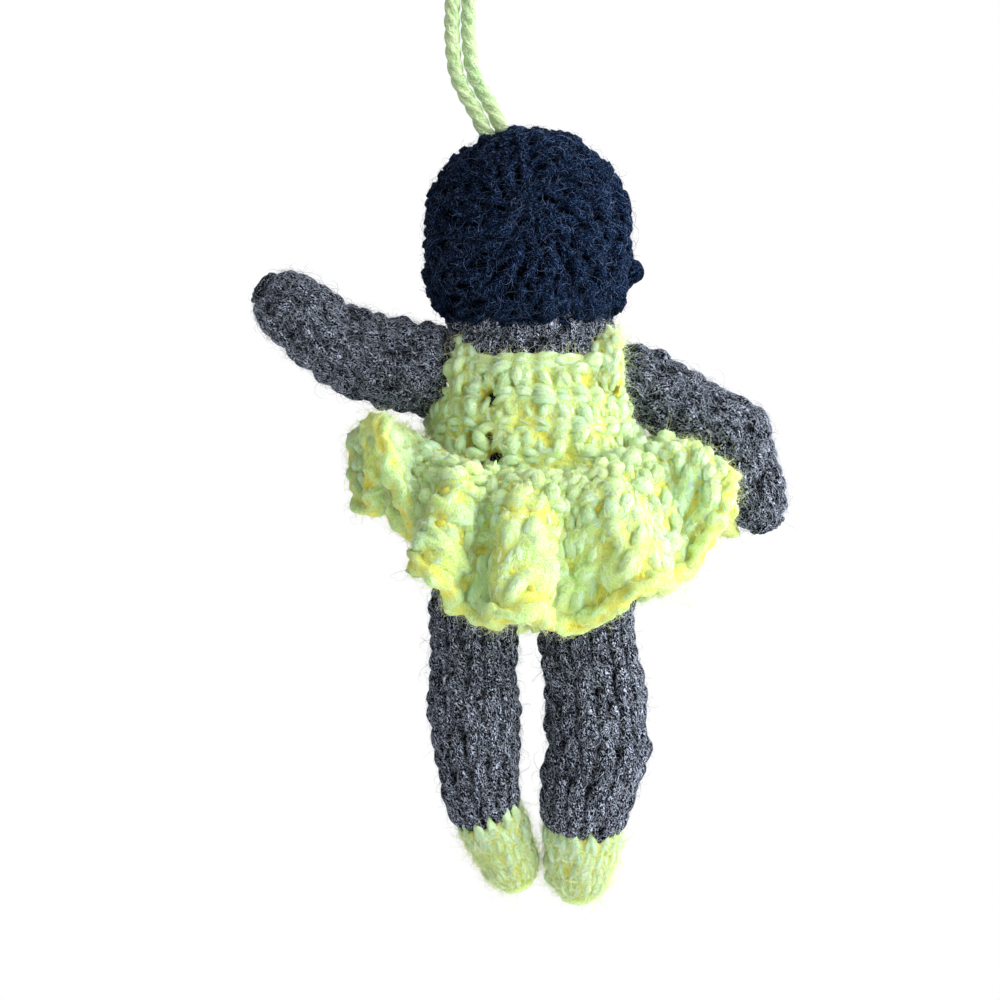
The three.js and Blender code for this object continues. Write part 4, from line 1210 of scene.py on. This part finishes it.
def seam_radius(v):
    return np.interp(v, np.linspace(0, SEAM_TALL, len(SEAM_RADII)), SEAM_RADII), np.asarray(v, float)


def lay_neck_seam(pile):
    """The slanted stitches that close the neck, with their nap and the fibres on it."""
    seam_line = SEAM_AT + np.linspace(0, SEAM_TALL, 20)[:, None] * np.array([0, 0, 1])
    seam, _ = tube_surface(seam_line, seam_radius, flat=TORSO_OVAL)
    seam_rows = [(place, 26, 0.3 * i, 0.0026) for i, place in enumerate(np.arange(0.0006, SEAM_TALL, 0.0022))]
    lay_stitches(pile, seam, seam_rows, yarn=0.0009, seed=90, lean=0.6, loose=0.3)
    seam_nap = new_pile()
    lay_nap(
        seam_nap, pile, seam, around=120, rows=np.linspace(0, SEAM_TALL, 16),
        yarn=0.0007, sink=0.00015, inside=0.0008,
    )
    join_piles(pile, seam_nap)
    lay_fuzz(torso_fuzz_pile, seam_nap, count=1900, length=0.0013, seed=91)


for name, (start, way, length) in TIES.items():
    near = np.asarray(start, float)
    far = near + np.asarray(way) * length
    tie_pile = new_pile()
    tie_line = near + np.linspace(0, 1, 40)[:, None] * (far - near)
    lay_strands(tie_pile, tie_line[None], FORE, radius=TIE_YARN, rise=0.5, tone=[0.5], sides=12, twist=1100.0)
    for end in (near, far):
        lay_strands(
            tie_pile, knot_line(end, TIE_KNOT, TIE_KNOT_YARN)[None], np.array([0.2, 0.3, 0.93]),
            radius=TIE_KNOT_YARN, rise=0.5, tone=[0.4], twist=1400.0,
        )
    if name == "neck_tie":
        lay_neck_seam(tie_pile)
    make_piece(name + "_yarn", tie_pile, skin_yarn, "torso", name)
make_piece("torso_skin_fuzz", torso_fuzz_pile, skin_fuzz, "torso")

# Arms
# Slim tubes of skin-coloured yarn worked in rounds from the shoulder to a closed tip, stuffed and sewn on.
# The left arm is raised and curves up, and the right arm hangs out over the skirt.
ROOT_OPENING = math.radians(50)
ARM_RIGHT_OPENING = math.radians(22)
SKIN_STITCH = 0.0031
SKIN_ROW = 0.0029
LIMB_POINTS = 160
ARMS = {
    "arm_left": (
        SHOULDER_LEFT,
        [(-0.0068, 0, 0.0019), (-0.0134, 0, 0.0043), (-0.0185, 0, 0.0074), (-0.0223, 0, 0.0104)],
        [0.0074, 0.0073, 0.0068, 0.0063, 0.0060],
        (0, 0, 0), ROOT_OPENING, 101,
    ),
    "arm_right": (
        SHOULDER_RIGHT,
        [(0.0002, 0.0012, -0.0024), (0.0032, 0.0006, -0.0036), (0.0060, 0.0002, -0.0051),
         (0.0084, 0, -0.0065), (0.0150, 0, -0.0123), (0.0179, 0, -0.0195)],
        [0.0068, 0.0066, 0.0064, 0.0063, 0.0062, 0.0060, 0.0055],
        (-0.0035, 0.0020, -0.0019), ARM_RIGHT_OPENING, 102,
    ),
}


def limb_surface(joint, route, radii, seat, opening):
    """A limb's skin from its open root to its tip, the distances along it, and its length."""
    points = np.vstack([seat, np.asarray(route)])
    line = np.asarray(joint) + smooth_line(points, LIMB_POINTS)
    length = float(np.linalg.norm(np.diff(line, axis=0), axis=1).sum())
    near = np.linalg.norm(line[:, None] - (np.asarray(joint) + points)[None], axis=2).argmin(axis=0)
    stations = near / (LIMB_POINTS - 1) * length
    swell = smooth_line(np.column_stack([stations, radii]), 200)
    root = np.linspace(opening, np.pi / 2, 12)[:-1]
    tip = np.linspace(0, np.pi / 2 - 0.03, 16)[1:]
    body = np.linspace(0, length, 120)
    ahead = np.concatenate([-radii[0] * np.cos(root), body, length + radii[-1] * np.sin(tip)])
    reach = np.concatenate([
        radii[0] * np.sin(root), np.interp(body, swell[:, 0], swell[:, 1]), radii[-1] * np.cos(tip),
    ])
    slope = unit(np.column_stack([np.gradient(ahead), np.gradient(reach)]))
    ahead = ahead + STITCH_SINK * slope[:, 1]
    reach = np.maximum(reach - STITCH_SINK * slope[:, 0], 0.0002)
    run = np.concatenate([[0], np.cumsum(np.hypot(np.diff(ahead), np.diff(reach)))])

    def profile(v):
        return np.interp(v, run, reach), np.interp(v, run, ahead)

    surface, _ = tube_surface(line, profile)
    return surface, run, ahead, length


def lay_close(pile, surface, end, yarn):
    """The last round of a tip, drawn up tight in a coil over its middle."""
    turn = np.linspace(0, 3, 60)
    places, normals, _ = on_surface(surface, turn, end - 0.0022 + 0.0020 * turn / 3)
    lay_strands(pile, (places + 0.6 * yarn * normals)[None], normals[None], yarn, 0.45, [0.5])


for name, (joint, route, radii, seat, opening, seed) in ARMS.items():
    arm, arm_run, _, _ = limb_surface(joint, route, radii, seat, opening)
    arm_end = arm_run[-1]
    arm_places = np.arange(0.0015, arm_end - 0.001, SKIN_ROW)
    arm_rows = [(place, 14, 0.3 * i, SKIN_ROW) for i, place in enumerate(arm_places)]
    nap_rows = np.linspace(0.0002, arm_end - 0.0004, 110)
    arm_pile, arm_nap = crochet(
        arm, arm_rows, dict(yarn=0.00095, seed=seed + 2, lean=0.5, loose=0.3),
        dict(around=120, rows=nap_rows, yarn=0.0007, sink=0.00015, inside=0.0006),
    )
    lay_close(arm_pile, arm, arm_end, yarn=0.0008)
    arm_skin = make_piece(name + "_skin", arm_pile, skin_yarn, name, name + "_shell")
    add_fuzz(
        name + "_skin_fuzz", arm_nap, skin_fuzz, name, "skin_yarn",
        count=MOST_FIBRES, length=0.0013, seed=seed,
    )

# Legs and shoes
# Tubes of knitting whose columns of V run down the leg, stuffed and sewn to the hips. At the ankle the yarn
# changes to the leotard's yellow for the shoe, and the last dark stitches point down into it.
LEG_OPENING = math.radians(34)
LEG_STITCH = 0.00105
LEGS = {
    "left": (
        HIP_LEFT,
        [(0.0002, 0, -0.0095), (0.0004, 0, -0.0191), (0.0013, 0, -0.0276), (0.0029, 0.0005, -0.0352),
         (0.0060, 0.0025, -0.0429)],
        [0.0070, 0.0071, 0.0073, 0.0068, 0.0060, 0.0051],
        0.0085, 105,
    ),
    "right": (
        HIP_RIGHT,
        [(0.0002, 0, -0.0095), (0.0010, 0, -0.0191), (0.0007, 0, -0.0276), (-0.0008, 0.0005, -0.0364),
         (-0.0015, 0.0025, -0.0443)],
        [0.0075, 0.0079, 0.0083, 0.0081, 0.0069, 0.0056],
        0.0075, 106,
    ),
}
for side, (joint, route, radii, shoe_length, seed) in LEGS.items():
    name = "leg_" + side
    leg, leg_run, leg_ahead, leg_length = limb_surface(joint, route, radii, (0, 0, 0), LEG_OPENING)
    leg_end = leg_run[-1]
    cuff = float(np.interp(leg_length - shoe_length, leg_ahead, leg_run))
    places = np.arange(0.002, leg_end - 0.001, SKIN_ROW)
    columns = round(2 * np.pi * np.mean(radii) / SKIN_STITCH)
    leg_rows = [(p, columns, 0.25, SKIN_ROW) for p in places if p < cuff]
    shoe_rows = [(p, columns, 0.25, SKIN_ROW) for p in places if p >= cuff]
    nap_rows = np.linspace(0.0002, cuff, 110)
    leg_pile, leg_nap = crochet(
        leg, leg_rows, dict(yarn=LEG_STITCH, seed=seed, loose=0.2, reach=1.75),
        dict(around=130, rows=nap_rows, yarn=0.0006, sink=0.0002, inside=0.0006),
    )
    leg_skin = make_piece(name + "_skin", leg_pile, skin_yarn, name, name + "_shell")
    add_fuzz(
        name + "_skin_fuzz", leg_nap, skin_fuzz, name, "skin_yarn",
        count=MOST_FIBRES, length=0.0013, seed=seed + 2,
    )
    shoe = "shoe_" + side
    nap_rows = np.linspace(cuff, leg_end - 0.0004, 50)
    shoe_pile, shoe_nap = crochet(
        leg, shoe_rows, dict(yarn=LEG_STITCH, seed=seed + 4, loose=0.25, reach=1.6),
        dict(around=130, rows=nap_rows, yarn=0.0006, sink=0.0001, inside=0.0006),
    )
    lay_close(shoe_pile, leg, leg_end, yarn=0.0008)
    make_piece(shoe + "_knit", shoe_pile, yellow_yarn, name, shoe)
    add_fuzz(
        shoe + "_fuzz", shoe_nap, yellow_fuzz, name, "yellow_yarn",
        count=4000, length=0.0013, seed=seed + 6, **YELLOW_FIBRES,
    )
